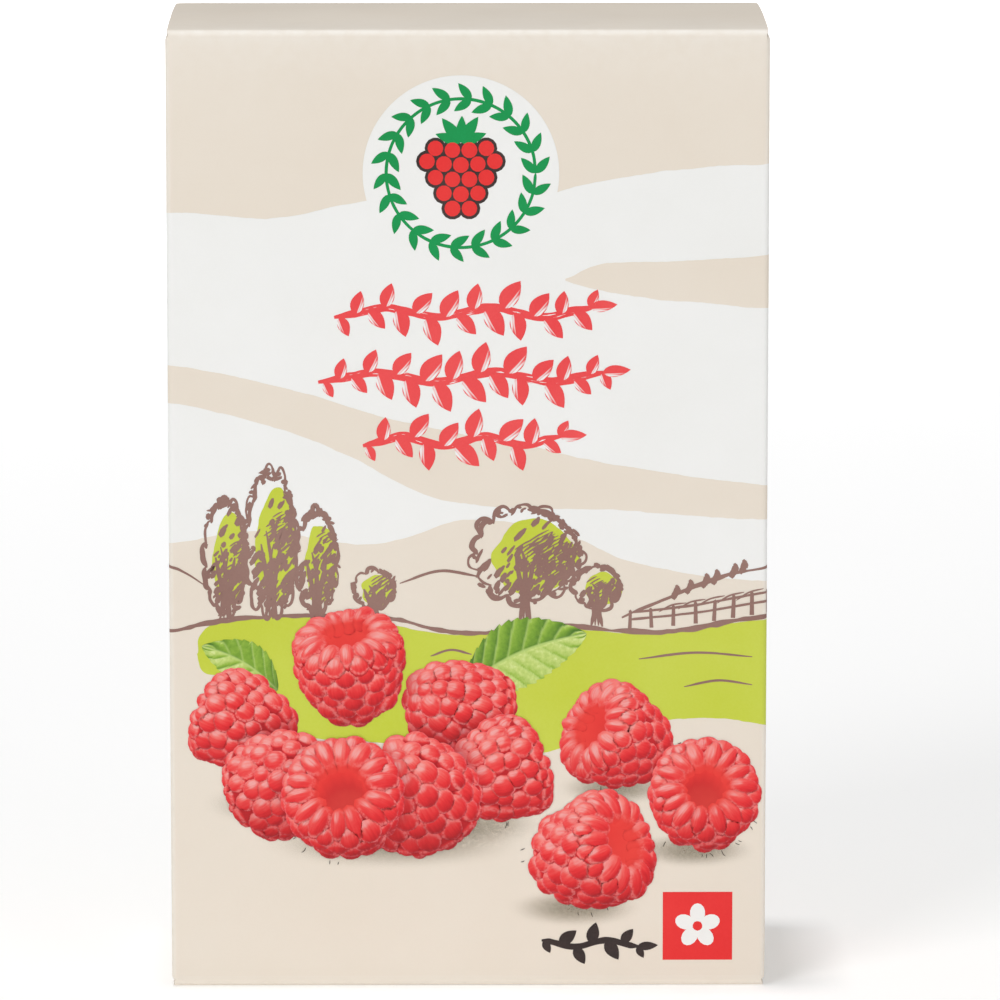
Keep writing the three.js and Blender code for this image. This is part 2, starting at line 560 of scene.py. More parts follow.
def flap_profile(hinge, fold, level, reach, crown):
    """Places y, height, outward y, outward height up the hinge side, round the fold and along the flap.

    The flap stands higher in its middle by the crown, as a pressed sheet of board does.
    """
    side = math.copysign(1, hinge)
    hinge += side * 0.01 * MM  # the start of the flap is just off the panel that it grows from
    rows = [(hinge, level - fold - 0.6 * MM, side, 0.0)]
    bend = hinge - side * fold
    for i in range(CREASE_STEPS + 1):
        angle = math.radians(90 * i / CREASE_STEPS)
        out_y, out_z = side * math.cos(angle), math.sin(angle)
        rows.append((bend + out_y * fold, level - fold + out_z * fold, out_y, out_z))
    for k in np.concatenate([np.linspace(0, 1, 20)[1:-1], [0.97, 0.985, 0.995, 1]]):
        slope = crown * 4 * (1 - 2 * k) / (reach - bend)
        rows.append((bend + (reach - bend) * k, level + crown * 4 * k * (1 - k), -slope, 1.0))
    return rows


def turn_outwards(shape):
    bmesh.ops.recalc_face_normals(shape, faces=shape.faces)


def make_flap(name, hinge, fold, level, reach, width, corner, crown=0.0, base=False):
    rows = flap_profile(hinge, fold, level, reach, crown)
    n = len(ACROSS)
    points, marks = [], []
    for y, z, out_y, out_z in rows:
        to_edge = min(corner, abs(y - reach))
        half = width / 2 - (corner - math.sqrt(corner**2 - (corner - to_edge) ** 2))
        half -= 0.45 * MM * max(0.0, abs(out_y) - 0.4)  # a little narrower at the hinge
        bent = 2 * abs(out_y * out_z) if abs(out_y) > 0.15 else 0
        # Along the bend the mark is partly wear and partly painted highlight; beside the hinge it is painted
        # light that fades away from the fold.
        mark = min(1.0, max(bent, TOP_FOLD_PAINTED_LIGHT * math.exp(-abs(y - hinge) / (2 * TOP_FOLD_LIGHT_FADE))))
        for depth, across in ((0, ACROSS), (BOARD, ACROSS[::-1])):
            points += [(c * half, y - out_y * depth, z - out_z * depth) for c in across]
        marks += [mark * (0.25 if base else 1.0)] * n + [0] * n
    points = np.array(points)
    if base:
        points[:, 2] = HEIGHT - points[:, 2]
    faces = grid_faces(len(rows), 2 * n, closed=True)
    raw = [k % (2 * n) >= n - 1 for k in range(len(faces))]
    for end in (0, 2 * n * (len(rows) - 1)):
        faces += [(end + i, end + i + 1, end + 2 * n - 2 - i, end + 2 * n - 1 - i) for i in range(n - 1)]
    raw += [True] * (len(faces) - len(raw))
    settle_board(name, points, faces, raw, marks, turn_outwards)


OUTER_WIDTH = WIDTH - 0.6 * MM
INNER_WIDTH = WIDTH - 2.4 * MM
OUTER_REACH = DEPTH / 2 - 0.8 * MM
for end, base, crown in (("top", False, 0.45 * MM), ("base", True, 0.0)):
    make_flap(end + "_inner_flap", DEPTH / 2, CREASE, HEIGHT - BOARD, 0.0, INNER_WIDTH, MM, base=base)
    make_flap(end + "_outer_flap", -DEPTH / 2, END_FOLD, HEIGHT, OUTER_REACH, OUTER_WIDTH, 2 * MM,
              crown, base)

# %% [markdown]
# The print is drawn flat. A layer collects shapes, in millimetres on the unfolded board, with a place on
# each shape for the finish. Like the plates of a press, the layers go down in a fixed order, each a few
# hundredths of a millimetre above the one before. An image on the board would blur close up, while shapes
# stay sharp, as real print does.

# %% Layers of print
LIFT = {  # how far each piece of print stands off the board, in millimetres, from the first to the last
    "white_sweep": 0.010, "cream_sweeps": 0.018, "lime_meadow": 0.018, "card_frames": 0.024,
    "landscape_wash": 0.026, "badge_disc": 0.030, "red_square": 0.030, "bare_cards": 0.030,
    "landscape_lines": 0.034, "card_rules": 0.036, "red_garlands": 0.040, "dark_sprig": 0.040,
    "white_blossom": 0.040, "badge_wreath": 0.046, "blossom_heart": 0.046, "drawn_berry_outlines": 0.0502,
    "pile_shadow": 0.063, "loose_shadows": 0.063, "small_leaf": 0.066, "leaf": 0.068, "back_leaf": 0.068,
    "hairs": 0.070, "raspberry_pile": 0.076, "loose_raspberries": 0.076, "side_raspberries": 0.076,
    "back_raspberries": 0.076, "drawn_berries": 0.080,
}


def with_places(mesh, places):
    """Gives the corners of the faces their points' places on the drawn shape."""
    corners = np.zeros(len(mesh.loops), np.int32)
    mesh.loops.foreach_get("vertex_index", corners)
    grid = mesh.uv_layers.new(name="place")
    grid.data.foreach_set("uv", np.array(places, np.float32)[corners].ravel())
    return mesh


class Layer:
    """Shapes of one ink, drawn flat: across and up in millimetres, with a place along and across each."""

    def __init__(self):
        self.points, self.faces, self.places = [], [], []

    def add(self, points, faces, places=None, raise_by=0.0):
        first = len(self.points)
        self.points += [(p[0], p[1], raise_by) for p in points]
        self.places += [(p[0], p[1]) for p in (points if places is None else places)]
        self.faces += [tuple(first + i for i in face) for face in faces]

    def polygon(self, points, raise_by=0.0):
        self.add(points, [range(len(points))], None, raise_by)

    def flat_mesh(self):
        return with_places(mesh_of("layer", np.array(self.points) * MM, self.faces), self.places)


print(len(LIFT), "pieces of print, up to", max(LIFT.values()), "mm off the board")

# %% [markdown]
# A finished layer is cut along the creases, and every few millimetres between top and bottom, so that it
# bends exactly where the board bends. Then it is folded round the pack. Without the cuts, a long face would
# run straight through the board where that is bent.


# %% Cutting and folding the print
def cut_flat(shape):
    """Cuts a flat shape where the board bends, and lets all of it face up."""
    bmesh.ops.triangulate(shape, faces=[f for f in shape.faces if len(f.verts) > 4])
    low, high = ([end(v.co[k] for v in shape.verts) for k in (0, 1)] for end in (min, max))
    cuts = [((a, 0, 0), (1, 0, 0)) for a in ALONG if low[0] < a < high[0]]
    if high[1] - low[1] > 2 * PANEL_STEP:
        cuts += [((0, z, 0), (0, 1, 0)) for z in np.arange(low[1] + PANEL_STEP, high[1], PANEL_STEP)]
    for place, facing in cuts:
        everything = [*shape.verts, *shape.edges, *shape.faces]
        bmesh.ops.bisect_plane(shape, geom=everything, dist=1e-8, plane_co=place, plane_no=facing)
    turn_outwards(shape)
    for face in shape.faces:
        if face.normal.z < 0:
            face.normal_flip()


def fold_round(name, mesh):
    """Folds a piece of print round the pack, with the lift that its name has."""
    flat = places_of(mesh)
    return move(mesh, onto_pack(flat[:, 0], flat[:, 1], flat[:, 2] + LIFT[name] * MM))


def joined(name, meshes):
    """Several flat meshes as one."""
    out = bpy.data.meshes.new(name)
    shape = bmesh.new()
    for mesh in meshes:
        shape.from_mesh(mesh)
    shape.to_mesh(out)
    shape.free()
    return out


def print_ink(name, meshes, ink):
    """Prints flat meshes as one piece. An ink is a finish and the name of a material slot, which is not used.
    """
    mesh = edited(joined(name, meshes), cut_flat)
    settle(name, fold_round(name, mesh), ink[:1])


print("the board bends at", len(ALONG), "places round the pack")

# %% [markdown]
# Nothing painted by hand has a straight edge. One helper runs a smooth curve through a few chosen points,
# and another shakes it a little, in waves from long to short, as a hand does.


# %% Hand-drawn edges
def smooth_path(points, step, closed=False):
    """A smooth curve through the points, as points about one step apart."""
    points = np.array(points, float)
    if closed:
        ring = np.concatenate([points[-1:], points, points[:2]])
    else:
        ring = np.concatenate([[2 * points[0] - points[1]], points, [2 * points[-1] - points[-2]]])
    out = []
    for a, b, c, d in zip(ring, ring[1:], ring[2:], ring[3:]):
        n = max(1, math.ceil(np.hypot(*(c - b)) / step))
        t = np.arange(n)[:, None] / n
        out.append(0.5 * (2 * b + (c - a) * t + (2 * a - 5 * b + 4 * c - d) * t**2
                          + (3 * b - a - 3 * c + d) * t**3))
    return np.concatenate(out if closed else out + [points[-1:]])


def waver(count, rng, waves=(40, 14, 5, 2), closed=False):
    """Smooth random waves of several lengths, counted in points, together within about -1 to 1."""
    total = np.zeros(count)
    for wave in waves:
        knots = max(3, int(count / wave) + 2)
        values = rng.uniform(-1, 1, knots)
        if closed:
            values[-1] = values[0]
        t = np.linspace(0, knots - 1, count)
        low = np.minimum(t.astype(int), knots - 2)
        f = t - low
        f = f * f * (3 - 2 * f)
        total += (values[low] * (1 - f) + values[low + 1] * f) * (wave / waves[0]) ** 0.5
    return total / sum((wave / waves[0]) ** 0.5 for wave in waves)


def sideways(path):
    """The unit direction to the left of each point of a path."""
    ahead = np.gradient(path, axis=0)
    ahead /= np.maximum(1e-9, np.hypot(*ahead.T))[:, None]
    return np.stack([-ahead[:, 1], ahead[:, 0]], axis=1)


def rough_edge(points, rng, amount, closed=False):
    path = smooth_path(points, 0.45, closed)
    return path + sideways(path) * (amount * waver(len(path), rng, closed=closed))[:, None]


print("a trial path has", len(smooth_path([(0, 0), (10, 4), (20, 0)], 0.5)), "points")

# %% [markdown]
# A stroke is such a curve given a width: a ribbon of two strips, thin where the pen is set down and lifted.
# Its places, along and across, go into a UV map, so that a brush's finish can follow it round every bend.


# %% Strokes
def stroke(layer, points, width, rng, rough=0.12, step=0.4, taper=(0.3, 0.3), raise_by=0.0):
    """A pen or brush stroke: a ribbon of uneven width, drawn thin over the shares of its length given."""
    path = smooth_path(points, step)
    n = len(path)
    t = np.linspace(0, 1, n)
    thin = np.minimum(1, 0.35 + t / taper[0]) * np.minimum(1, 0.35 + (1 - t) / taper[1])
    left, right = (0.5 * width * thin * (1 + rough * 2 * waver(n, rng, (14, 6, 3))) for _ in range(2))
    side = sideways(path)
    distance = t * np.hypot(*np.diff(path, axis=0).T).sum()
    ribbon = np.concatenate([path - side * right[:, None], path, path + side * left[:, None]])
    places = np.concatenate([np.stack([distance, 0 * t + v], 1) for v in (0, width / 2, width)])
    layer.add(ribbon, grid_faces(3, n), places, raise_by)


trial = Layer()
stroke(trial, [(0, 0), (10, 4), (20, 0)], 1.0, np.random.default_rng(0))
print("a trial stroke has", len(trial.faces), "faces")

# %% [markdown]
# The inks are flat colours with the mottling of real ink, under the same varnish. Brush inks also leave
# thin scratches along the stroke, where dry bristles let the paper show: a noise stretched along the
# stroke's own length, read from its place map.

# %% Inks
INK_IOR = 1.36


def brushed(nodes, thin, full, paper, bare):
    """Bare is how much paper the brush's scratches show, from 0 to 1."""
    place = nodes.out("ShaderNodeUVMap", uv_map="place")
    along = nodes.out("ShaderNodeMapping", {"Vector": place, "Scale": (0.22, 3.1, 1)})
    blots = nodes.math("MULTIPLY", nodes.noise(place, 0.35, 2), 0.35)
    dry = nodes.math("ADD", nodes.noise(along, 1, 3), blots)
    level = 0.98 - 0.4 * bare
    return nodes.mix(nodes.spread(dry, level, level + 0.045), mottled(nodes, thin, full), paper)


def ink(name, slot, paint, thin, full, *more):
    return varnished(name, INK_IOR, paint, linear(*thin), linear(*full), *more), slot


CREAM_INK = (BOARD_FINISH, "carton_board")
WHITE_INK = (WHITE_FINISH, "ink_white")
LIME_INK = ink("lime_ink", "ink_green", mottled, (204, 214, 82), (197, 208, 60), 40.0)
GREEN_INK = ink("green_ink", "ink_green", mottled, (12, 156, 84), (0, 143, 70))
RED_INK = ink("red_ink", "ink_red", mottled, (236, 56, 54), (231, 42, 43))
RED_BRUSH = ink("red_brush_ink", "ink_red", brushed, (242, 86, 86), (236, 68, 72), PAPER_WHITE, 0.42)
BROWN_PEN = ink("sketch_ink", "ink_brown", brushed, (154, 120, 110), (142, 106, 97), CREAM, 0.16)
DARK_BRUSH = ink("dark_ink", "ink_brown", brushed, (70, 56, 53), (46, 36, 34), CREAM, 0.14)
print("inks:", [made[0].name for made in (LIME_INK, GREEN_INK, RED_INK, RED_BRUSH, BROWN_PEN, DARK_BRUSH)])

# %% [markdown]
# Behind everything lie fields that look swept on with a wide brush: white from above the middle down to
# the hills, crossed by cream sweeps, and a lime meadow. Each is a band between two rough edges, given by a
# few points on the flat board, and each runs on over the creases round all four panels. A few points are
# enough, because a smooth curve runs through them before it is made rough.

# %% Fields of colour
FIELD_ROUGHNESS = 0.5
FIELDS = [
    ("white_sweep", WHITE_INK, [
        ([(LEFT_EDGE, 139), (-76, 136), (-53, 138.2), (-34, 137.4), (-14, 140.6), (6, 139.8), (26, 144.2),
          (53, 146.4), (76, 144), (99, 139.5), (125, 141), (152, 145), (180, 142), (RIGHT_EDGE, 139)],
         [(LEFT_EDGE, 84), (-76, 80), (-53, 79.5), (-36, 82), (-16, 79.5), (0, 84), (17, 81.5), (30, 76),
          (53, 72.5), (76, 74), (99, 80), (125, 82), (152, 78), (180, 80), (RIGHT_EDGE, 84)]),
    ]),
    ("cream_sweeps", CREAM_INK, [
        ([(17, 126.4), (24, 128.9), (38, 129.4), (53, 130.6), (70, 132), (99, 131), (122, 133.6),
          (134, 130.4)],
         [(17, 126.1), (24, 124.2), (38, 122.4), (53, 121.4), (70, 123), (99, 122.4), (122, 126.4),
          (134, 130.1)]),
        ([(LEFT_EDGE, 113), (-76, 113.5), (-53, 111.2), (-34, 107.8), (-12, 101.6), (10, 97.2), (32, 92.6),
          (53, 89.8), (76, 90.4), (99, 93), (112, 94.6), (128, 93.4)],
         [(LEFT_EDGE, 104), (-76, 105), (-53, 104.5), (-36, 101.2), (-20, 95), (-8, 88.5), (6, 86.2),
          (28, 85.4), (53, 83.6), (76, 85), (99, 88), (112, 91.2), (128, 93.2)]),
        ([(136, 110), (150, 112.5), (170, 110), (188, 112), (RIGHT_EDGE, 113)],
         [(136, 109), (150, 104), (170, 101.5), (188, 103), (RIGHT_EDGE, 104)]),
    ]),
    ("lime_meadow", LIME_INK, [
        ([(-47.6, 60.2), (-47.2, 63.2), (-44, 65.6), (-34, 66.6), (-18, 66), (-2, 63.4), (14, 65), (33, 63.4),
          (53, 66.2), (76, 64.4), (99, 61), (125, 62.6), (150, 60.4), (176, 62), (RIGHT_EDGE, 61)],
         [(-47.6, 60.0), (-46.4, 56.8), (-42, 55.4), (-45.6, 50.8), (-41, 46.4), (-26, 45), (-8, 43.6),
          (12, 41.8), (26, 46.4), (40, 48.6), (53, 47), (76, 44), (99, 45.6), (125, 43.4), (150, 47.6),
          (176, 45.4), (RIGHT_EDGE, 46)]),
        ([(LEFT_EDGE, 61), (-86, 63.2), (-72, 62.6), (-62.4, 60.2), (-58.6, 56.4)],
         [(LEFT_EDGE, 46), (-86, 44.8), (-72, 47), (-62, 50.4), (-58.6, 56.0)]),
    ]),
]
field_rng = np.random.default_rng(11)
for name, field_ink, bands in FIELDS:
    field = Layer()
    for edges in bands:
        top, bottom = (rough_edge(edge, field_rng, FIELD_ROUGHNESS) for edge in edges)
        field.polygon(np.concatenate([top, bottom[::-1]]))
    print_ink(name, [field.flat_mesh()], field_ink)

# %% [markdown]
# What repeats in the print is set out by Geometry Nodes. One tree puts a small mark at every point of a
# mesh, turned and sized by the point's own attributes, with a little unevenness from a fixed seed. It
# draws the leaves of a garland and of a wreath, the beads of a drawn berry, foliage and fence posts. A
# loop could copy the mark as well, but the tree keeps the rule in one place, apart from where it is used.


# %% A tree that repeats a mark
def named(nodes, name, kind="FLOAT_VECTOR"):
    return nodes.out("GeometryNodeInputNamedAttribute", {"Name": name}, data_type=kind)


def instances(nodes, points, instance, turn, size):
    """Puts an instance at every point, and makes it real."""
    turn = nodes.out("FunctionNodeEulerToRotation", {0: turn})
    placed = nodes.out("GeometryNodeInstanceOnPoints", {
        "Points": points, "Instance": instance, "Rotation": turn, "Scale": size})
    return nodes.out("GeometryNodeRealizeInstances", {0: placed})


def make_mark_tree():
    nodes, enter, leave = node_group("repeat_mark", "GeometryNodeTree", [
        ("Geometry", "Geometry", None), ("Mark", "Object", None), ("Size Unevenness", "Float", 0.12),
        ("Turn Unevenness", "Float", 0.1), ("Seed", "Int", 1), ("Ink", "Material", None),
    ], [("Geometry", "Geometry")])

    def chance(low, high, seed):
        inputs = {2: low, 3: high, "Seed": seed}
        return nodes.out("FunctionNodeRandomValue", inputs, 1, data_type="FLOAT")

    mark = nodes.out("GeometryNodeObjectInfo", {"Object": enter["Mark"]}, "Geometry")
    swing, swell = enter["Turn Unevenness"], enter["Size Unevenness"]
    wobble = chance(nodes.math("MULTIPLY", swing, -1.0), swing, enter["Seed"])
    turn = nodes.vector("ADD", named(nodes, "turn"), nodes.out("ShaderNodeCombineXYZ", {2: wobble}))
    grown = chance(nodes.math("SUBTRACT", 1.0, swell), nodes.math("ADD", 1.0, swell),
                   nodes.math("ADD", enter["Seed"], 7.0))
    scaled = {0: named(nodes, "size"), "Scale": grown}
    size = nodes.out("ShaderNodeVectorMath", scaled, operation="SCALE")
    real = instances(nodes, enter["Geometry"], mark, turn, size)
    inked = nodes.out("GeometryNodeSetMaterial", {"Geometry": real, "Material": enter["Ink"]})
    nodes.give(leave["Geometry"], inked)
    return nodes.tree


def grow(mesh, tree, values):
    """Runs a geometry tree on a mesh, with inputs set by their sockets' identifiers, as a plain mesh."""
    holder = bpy.data.objects.new("holder", mesh)
    scene.collection.objects.link(holder)
    modifier = holder.modifiers.new("make", "NODES")
    modifier.node_group = tree
    for socket in tree.interface.items_tree:
        if socket.in_out == "INPUT" and socket.name in values:
            modifier[socket.identifier] = values[socket.name]
    ready = bpy.context.evaluated_depsgraph_get()
    made = bpy.data.meshes.new_from_object(
        holder.evaluated_get(ready), preserve_all_data_layers=True, depsgraph=ready)
    holder.modifiers.remove(modifier)
    bpy.data.objects.remove(holder)
    return made


MARK_TREE = make_mark_tree()
print("tree", MARK_TREE.name, "with", len(MARK_TREE.nodes), "nodes")

# %% [markdown]
# A mark is a small flat shape of a few corners, about a millimetre long: a leaf, a dab of the pen, a bead
# or a post. Marks of one ink often overlap, and at one height they would flicker, so each lies a hair above
# the one before, up to sixty of them, and then the count starts again.


# %% Marks
def mark_object(name, points):
    """A small flat mark, a millimetre or so across, that a tree repeats. It is not a piece itself."""
    mesh = mesh_of(name, [(x * MM, y * MM, 0) for x, y in points], [tuple(range(len(points)))])
    return bpy.data.objects.new(name, with_places(mesh, points))


def leaf_outline(width=0.42, points=9):
    """A pointed leaf from its stalk at the origin to its tip at 1, fullest before the middle."""
    t = np.linspace(0, 1, points)
    half = 0.5 * width * np.sin(np.pi * t**0.8) ** 0.85
    half[-1] = half[0] = 0
    return np.concatenate([np.stack([t, half], 1), np.stack([t, -half], 1)[-2:0:-1]])


def circle(x, y, wide, count, tall=None):
    """Points round a circle, or round an ellipse if its second radius is given."""
    tall = wide if tall is None else tall
    return [(x + wide * math.cos(a), y + tall * math.sin(a))
            for a in np.linspace(0, 2 * math.pi, count, endpoint=False)]


LEAF_MARK = mark_object("leaf_mark", leaf_outline())
DAB_MARK = mark_object("dab_mark", [(-0.5, -0.1), (-0.2, -0.22), (0.25, -0.17), (0.5, -0.03), (0.42, 0.12),
                                    (0.05, 0.2), (-0.38, 0.16)])
BEAD_MARK = mark_object("berry_mark", circle(0, 0, 0.5, 14))
POST_MARK = mark_object("post_mark", [(-0.5, 0), (0.5, 0), (0.42, 0.9), (0.1, 1.0), (-0.4, 0.94)])
MARK_STEP = 0.0004  # how far one mark lies above the next, which keeps overlapping ones apart
MARK_LEVELS = 60
FIRST_LEVEL = 8


class Marks:
    """Places, turns and sizes for one mark, in millimetres, until the tree puts them down."""

    def __init__(self, mark):
        self.mark, self.rows = mark, []

    def put(self, x, y, turn, length, width=None):
        level = MARK_STEP * (len(self.rows) % MARK_LEVELS + FIRST_LEVEL)
        width = length if width is None else width
        self.rows.append((x * MM, y * MM, level * MM, 0, 0, turn, length, width, 1))

    def grown(self, seed, ink, size_jitter, turn_jitter):
        rows = np.array(self.rows)
        points = mesh_of("points", rows[:, :3], turn=rows[:, 3:6], size=rows[:, 6:])
        return grow(points, MARK_TREE, {
            "Mark": self.mark, "Size Unevenness": size_jitter, "Turn Unevenness": turn_jitter,
            "Seed": seed, "Ink": ink[0]})


print("marks:", [mark.name for mark in (LEAF_MARK, DAB_MARK, BEAD_MARK, POST_MARK)])

# %% [markdown]
# The middle of the front carries three painted garlands: a waving stem with leaves to either side, drawn
# with a half dry brush. The sides and the back have one each, and a dark sprig lies at the bottom of the
# front. The stem is a stroke, because it is drawn once. The leaves are marks along it, smaller towards its
# ends, because they repeat.

# %% Garlands
WAVE_HEIGHT = 0.11  # of the garland's height


def garland(stems, leaves, rng, x, y, half_length, height, leaf, gap, thick, waves=2.5):
    """A stem and its leaves round a place, in millimetres."""
    swing, turns = WAVE_HEIGHT * height, waves * math.pi
    t = np.linspace(-1, 1, 60)
    path = np.stack([x + half_length * 0.94 * t, y + swing * np.sin(turns * t)], 1)
    path = np.concatenate([path[::6], path[-1:]])
    stroke(stems, path, thick, rng, rough=0.16, taper=(0.12, 0.12))
    count = int(2 * half_length / gap)
    for i in range(count + 1):
        k = -1 + 2 * i / count
        slope = math.atan2(swing * turns * math.cos(turns * k), half_length)
        side = 1 if i % 2 else -1
        size = leaf * (1.12 - 0.42 * abs(k) ** 3) * rng.uniform(0.9, 1.1)
        leaves.put(x + half_length * 0.9 * k, y + swing * math.sin(turns * 0.9 * k / 0.94),
                   slope + side * rng.uniform(0.98, 1.2), size, size * 1.35)
    leaves.put(x + half_length * 0.9, y + swing * math.sin(turns * 0.96), 0.1, leaf)


GARLANDS = [
    ("red_garlands", RED_BRUSH, 5, [  # x, y, half length, height, leaf, gap and thickness of each
        (-0.6, 120.6, 24.2, 8.0, 4.9, 2.7, 1.45),
        (-0.8, 109.2, 27.0, 8.0, 4.9, 2.7, 1.45),
        (-0.9, 97.9, 18.6, 8.0, 4.9, 2.7, 1.45),
        (SIDE_MIDDLE, 126.4, 15.5, 7.0, 4.2, 2.6, 1.2),
        (-SIDE_MIDDLE, 126.4, 15.5, 7.0, 4.2, 2.6, 1.2),
        (BACK_MIDDLE - 0.6, 127.4, 28.0, 8.0, 4.9, 2.7, 1.45),
    ]),
    ("dark_sprig", DARK_BRUSH, 8, [(21.6, 7.7, 9.2, 5.4, 3.7, 2.7, 1.1, 1.5)]),
]
garland_rng = np.random.default_rng(23)
for name, garland_ink, seed, rows in GARLANDS:
    stems, leaves = Layer(), Marks(LEAF_MARK)
    for row in rows:
        garland(stems, leaves, garland_rng, *row)
    print_ink(name, [stems.flat_mesh(), leaves.grown(seed, garland_ink, 0.06, 0.06)], garland_ink)

# %% [markdown]
# The round badge is a plain white disc with a wreath of small green leaves round a drawn berry: beads of
# red in rows, between dark outlines, with a leafy crown. The sides and the back repeat the drawn berry
# alone. One leaf and one bead make all of it: even the outlines are beads, larger, dark, and lower in the
# print than the red ones.

# %% Badge and drawn berries
BADGE_PLACE = (-1.2, 145.0)
BADGE_RADIUS = 17.1
WREATH_RADIUS = 13.0
WREATH_PAIRS = 22
WREATH_LEAF = 3.7
WREATH_LEAN = 0.72  # how far a leaf turns away from the stem, in radians
DRAWN_BERRIES = [  # across, up, and the gap between two beads
    (*BADGE_PLACE, 2.95), (SIDE_MIDDLE, 144.0, 2.6), (-SIDE_MIDDLE, 144.0, 2.6), (BACK_MIDDLE, 148.0, 2.6)]


def drawn_berry(x, y, gap, crown, back, beads):
    """Rows of beads in dark outlines with a leafy crown, as wide as five gaps, round a place."""
    for i, angle in enumerate((0.3, 0.95, 1.57, 2.19, 2.84)):
        size = gap * (1.66 + 0.1 * (i % 2))
        crown.put(x, y + 1.83 * gap, angle, size, size * 0.94)
    for row, count in enumerate((4, 5, 4, 3, 2)):
        for k in range(count):
            across = k - (count - 1) / 2
            up = y + (1.36 - row * 0.865 + 0.054 * across**2) * gap
            back.put(x + across * gap, up, 0, 1.29 * gap)
            beads.put(x + across * gap, up, 0, 0.93 * gap)


def make_badge():
    x, y = BADGE_PLACE
    disc, stem = Layer(), Layer()
    disc.polygon(circle(x, y, BADGE_RADIUS, 120))
    print_ink("badge_disc", [disc.flat_mesh()], WHITE_INK)
    ring = circle(x, y, WREATH_RADIUS, 24) + [(x + WREATH_RADIUS, y)]
    stroke(stem, ring, 0.55, np.random.default_rng(31), rough=0.05, taper=(0.01, 0.01))
    green, back, beads = Marks(LEAF_MARK), Marks(BEAD_MARK), Marks(BEAD_MARK)
    for i in range(WREATH_PAIRS):
        angle = 2 * math.pi * i / WREATH_PAIRS
        for side in (1, -1):
            green.put(x + WREATH_RADIUS * math.cos(angle), y + WREATH_RADIUS * math.sin(angle),
                      angle + math.pi / 2 + side * WREATH_LEAN, WREATH_LEAF)
    for place in DRAWN_BERRIES:
        drawn_berry(*place, green, back, beads)
    print_ink("badge_wreath", [stem.flat_mesh(), green.grown(3, GREEN_INK, 0.05, 0.05)], GREEN_INK)
    print_ink("drawn_berry_outlines", [back.grown(1, DARK_BRUSH, 0.02, 0)], DARK_BRUSH)
    print_ink("drawn_berries", [beads.grown(1, RED_INK, 0.02, 0)], RED_INK)


make_badge()

# %% [markdown]
# A red square stands in the lower right corner of the front, with a white blossom on it. Its petals are
# beads too, drawn out long by the mark's own width and length.

# %% Square and blossom
SQUARE = (34.4, 4.7, 12.3)  # left, bottom and side
PETALS = 5
PETAL = (3.5, 2.7)
PETAL_REACH = 2.35  # from the middle of the blossom to the middle of a petal
HEART_RADIUS = 0.85


def rectangle(layer, left, bottom, wide, tall, raise_by=0.0):
    layer.polygon([(left, bottom), (left + wide, bottom), (left + wide, bottom + tall),
                   (left, bottom + tall)], raise_by)


def make_square():
    left, bottom, side = SQUARE
    red, heart, petals = Layer(), Layer(), Marks(BEAD_MARK)
    rectangle(red, left, bottom, side, side)
    print_ink("red_square", [red.flat_mesh()], RED_INK)
    x, y = left + side / 2, bottom + side / 2
    for i in range(PETALS):
        angle = math.pi / 2 + 2 * math.pi * i / PETALS
        petals.put(x + PETAL_REACH * math.cos(angle), y + PETAL_REACH * math.sin(angle), angle, *PETAL)
    print_ink("white_blossom", [petals.grown(2, WHITE_INK, 0, 0)], WHITE_INK)
    heart.polygon(circle(x, y, HEART_RADIUS, 24))
    print_ink("blossom_heart", [heart.flat_mesh()], RED_INK)


make_square()

# %% [markdown]
# The left side has a bare table: a white card with rounded corners and rules in brown, and nothing written
# on it. The back has a plain white card of the same kind. A frame round a card is the same shape in brown,
# a little wider and lower in the print, which is simpler than an outline and can't miss the corners.

# %% Bare cards
CARD_CORNER = 2.5
CARD_FRAME = 0.35
TABLE_CARD = (-SIDE_MIDDLE, 99.0, 35.0, 36.0)  # middle across and up, width and height
BACK_CARD = (BACK_MIDDLE, 107.4, 70.0, 25.0)
TABLE_ROWS = 8
RULE = 0.22


def card(layer, x, y, wide, tall, margin=0.0):
    """A rectangle with rounded corners round a place, wider by a margin on each side."""
    corner = CARD_CORNER + margin
    points = []
    for k, (sx, sy) in enumerate(((1, 1), (-1, 1), (-1, -1), (1, -1))):
        cx, cy = x + sx * (wide / 2 - CARD_CORNER), y + sy * (tall / 2 - CARD_CORNER)
        points += [(cx + corner * math.cos(a), cy + corner * math.sin(a))
                   for a in np.linspace(k * math.pi / 2, (k + 1) * math.pi / 2, 9)]
    layer.polygon(points)


def make_cards():
    frames, white, rules = Layer(), Layer(), Layer()
    for place in (TABLE_CARD, BACK_CARD):
        card(frames, *place, CARD_FRAME)
        card(white, *place)
    x, y, _, tall = TABLE_CARD
    for k in range(TABLE_ROWS):
        level = y + tall / 2 - tall * (k + 0.9) / (TABLE_ROWS + 0.8)
        rectangle(rules, x - 14.5, level, 29, RULE)
    rectangle(rules, x + 3, y - 14, RULE, 28.4, 0.001)
    print_ink("card_frames", [frames.flat_mesh()], BROWN_PEN)
    print_ink("bare_cards", [white.flat_mesh()], WHITE_INK)
    print_ink("card_rules", [rules.flat_mesh()], BROWN_PEN)


make_cards()

# %% [markdown]
# The berries on the pack are pictured, not modelled, yet a pictured berry still has the forms of a real
# one. So each is first built in full: drupelets set in rings round a hollow cone, long ones over its rim
# and round ones down to its tip. The tree puts a drupelet at every point, notes the direction in which
# each bit of surface faces, drops the far side, and presses the whole flat. What is left is a print, as
# thin as ink, that still knows how the berry was turned to the light.

# %% A tree that presses a berry flat
BERRY_FLATNESS = 0.0006  # how much of the pictured depth the flat print keeps
BALL_SIDES = 12
BALL_RINGS = 7


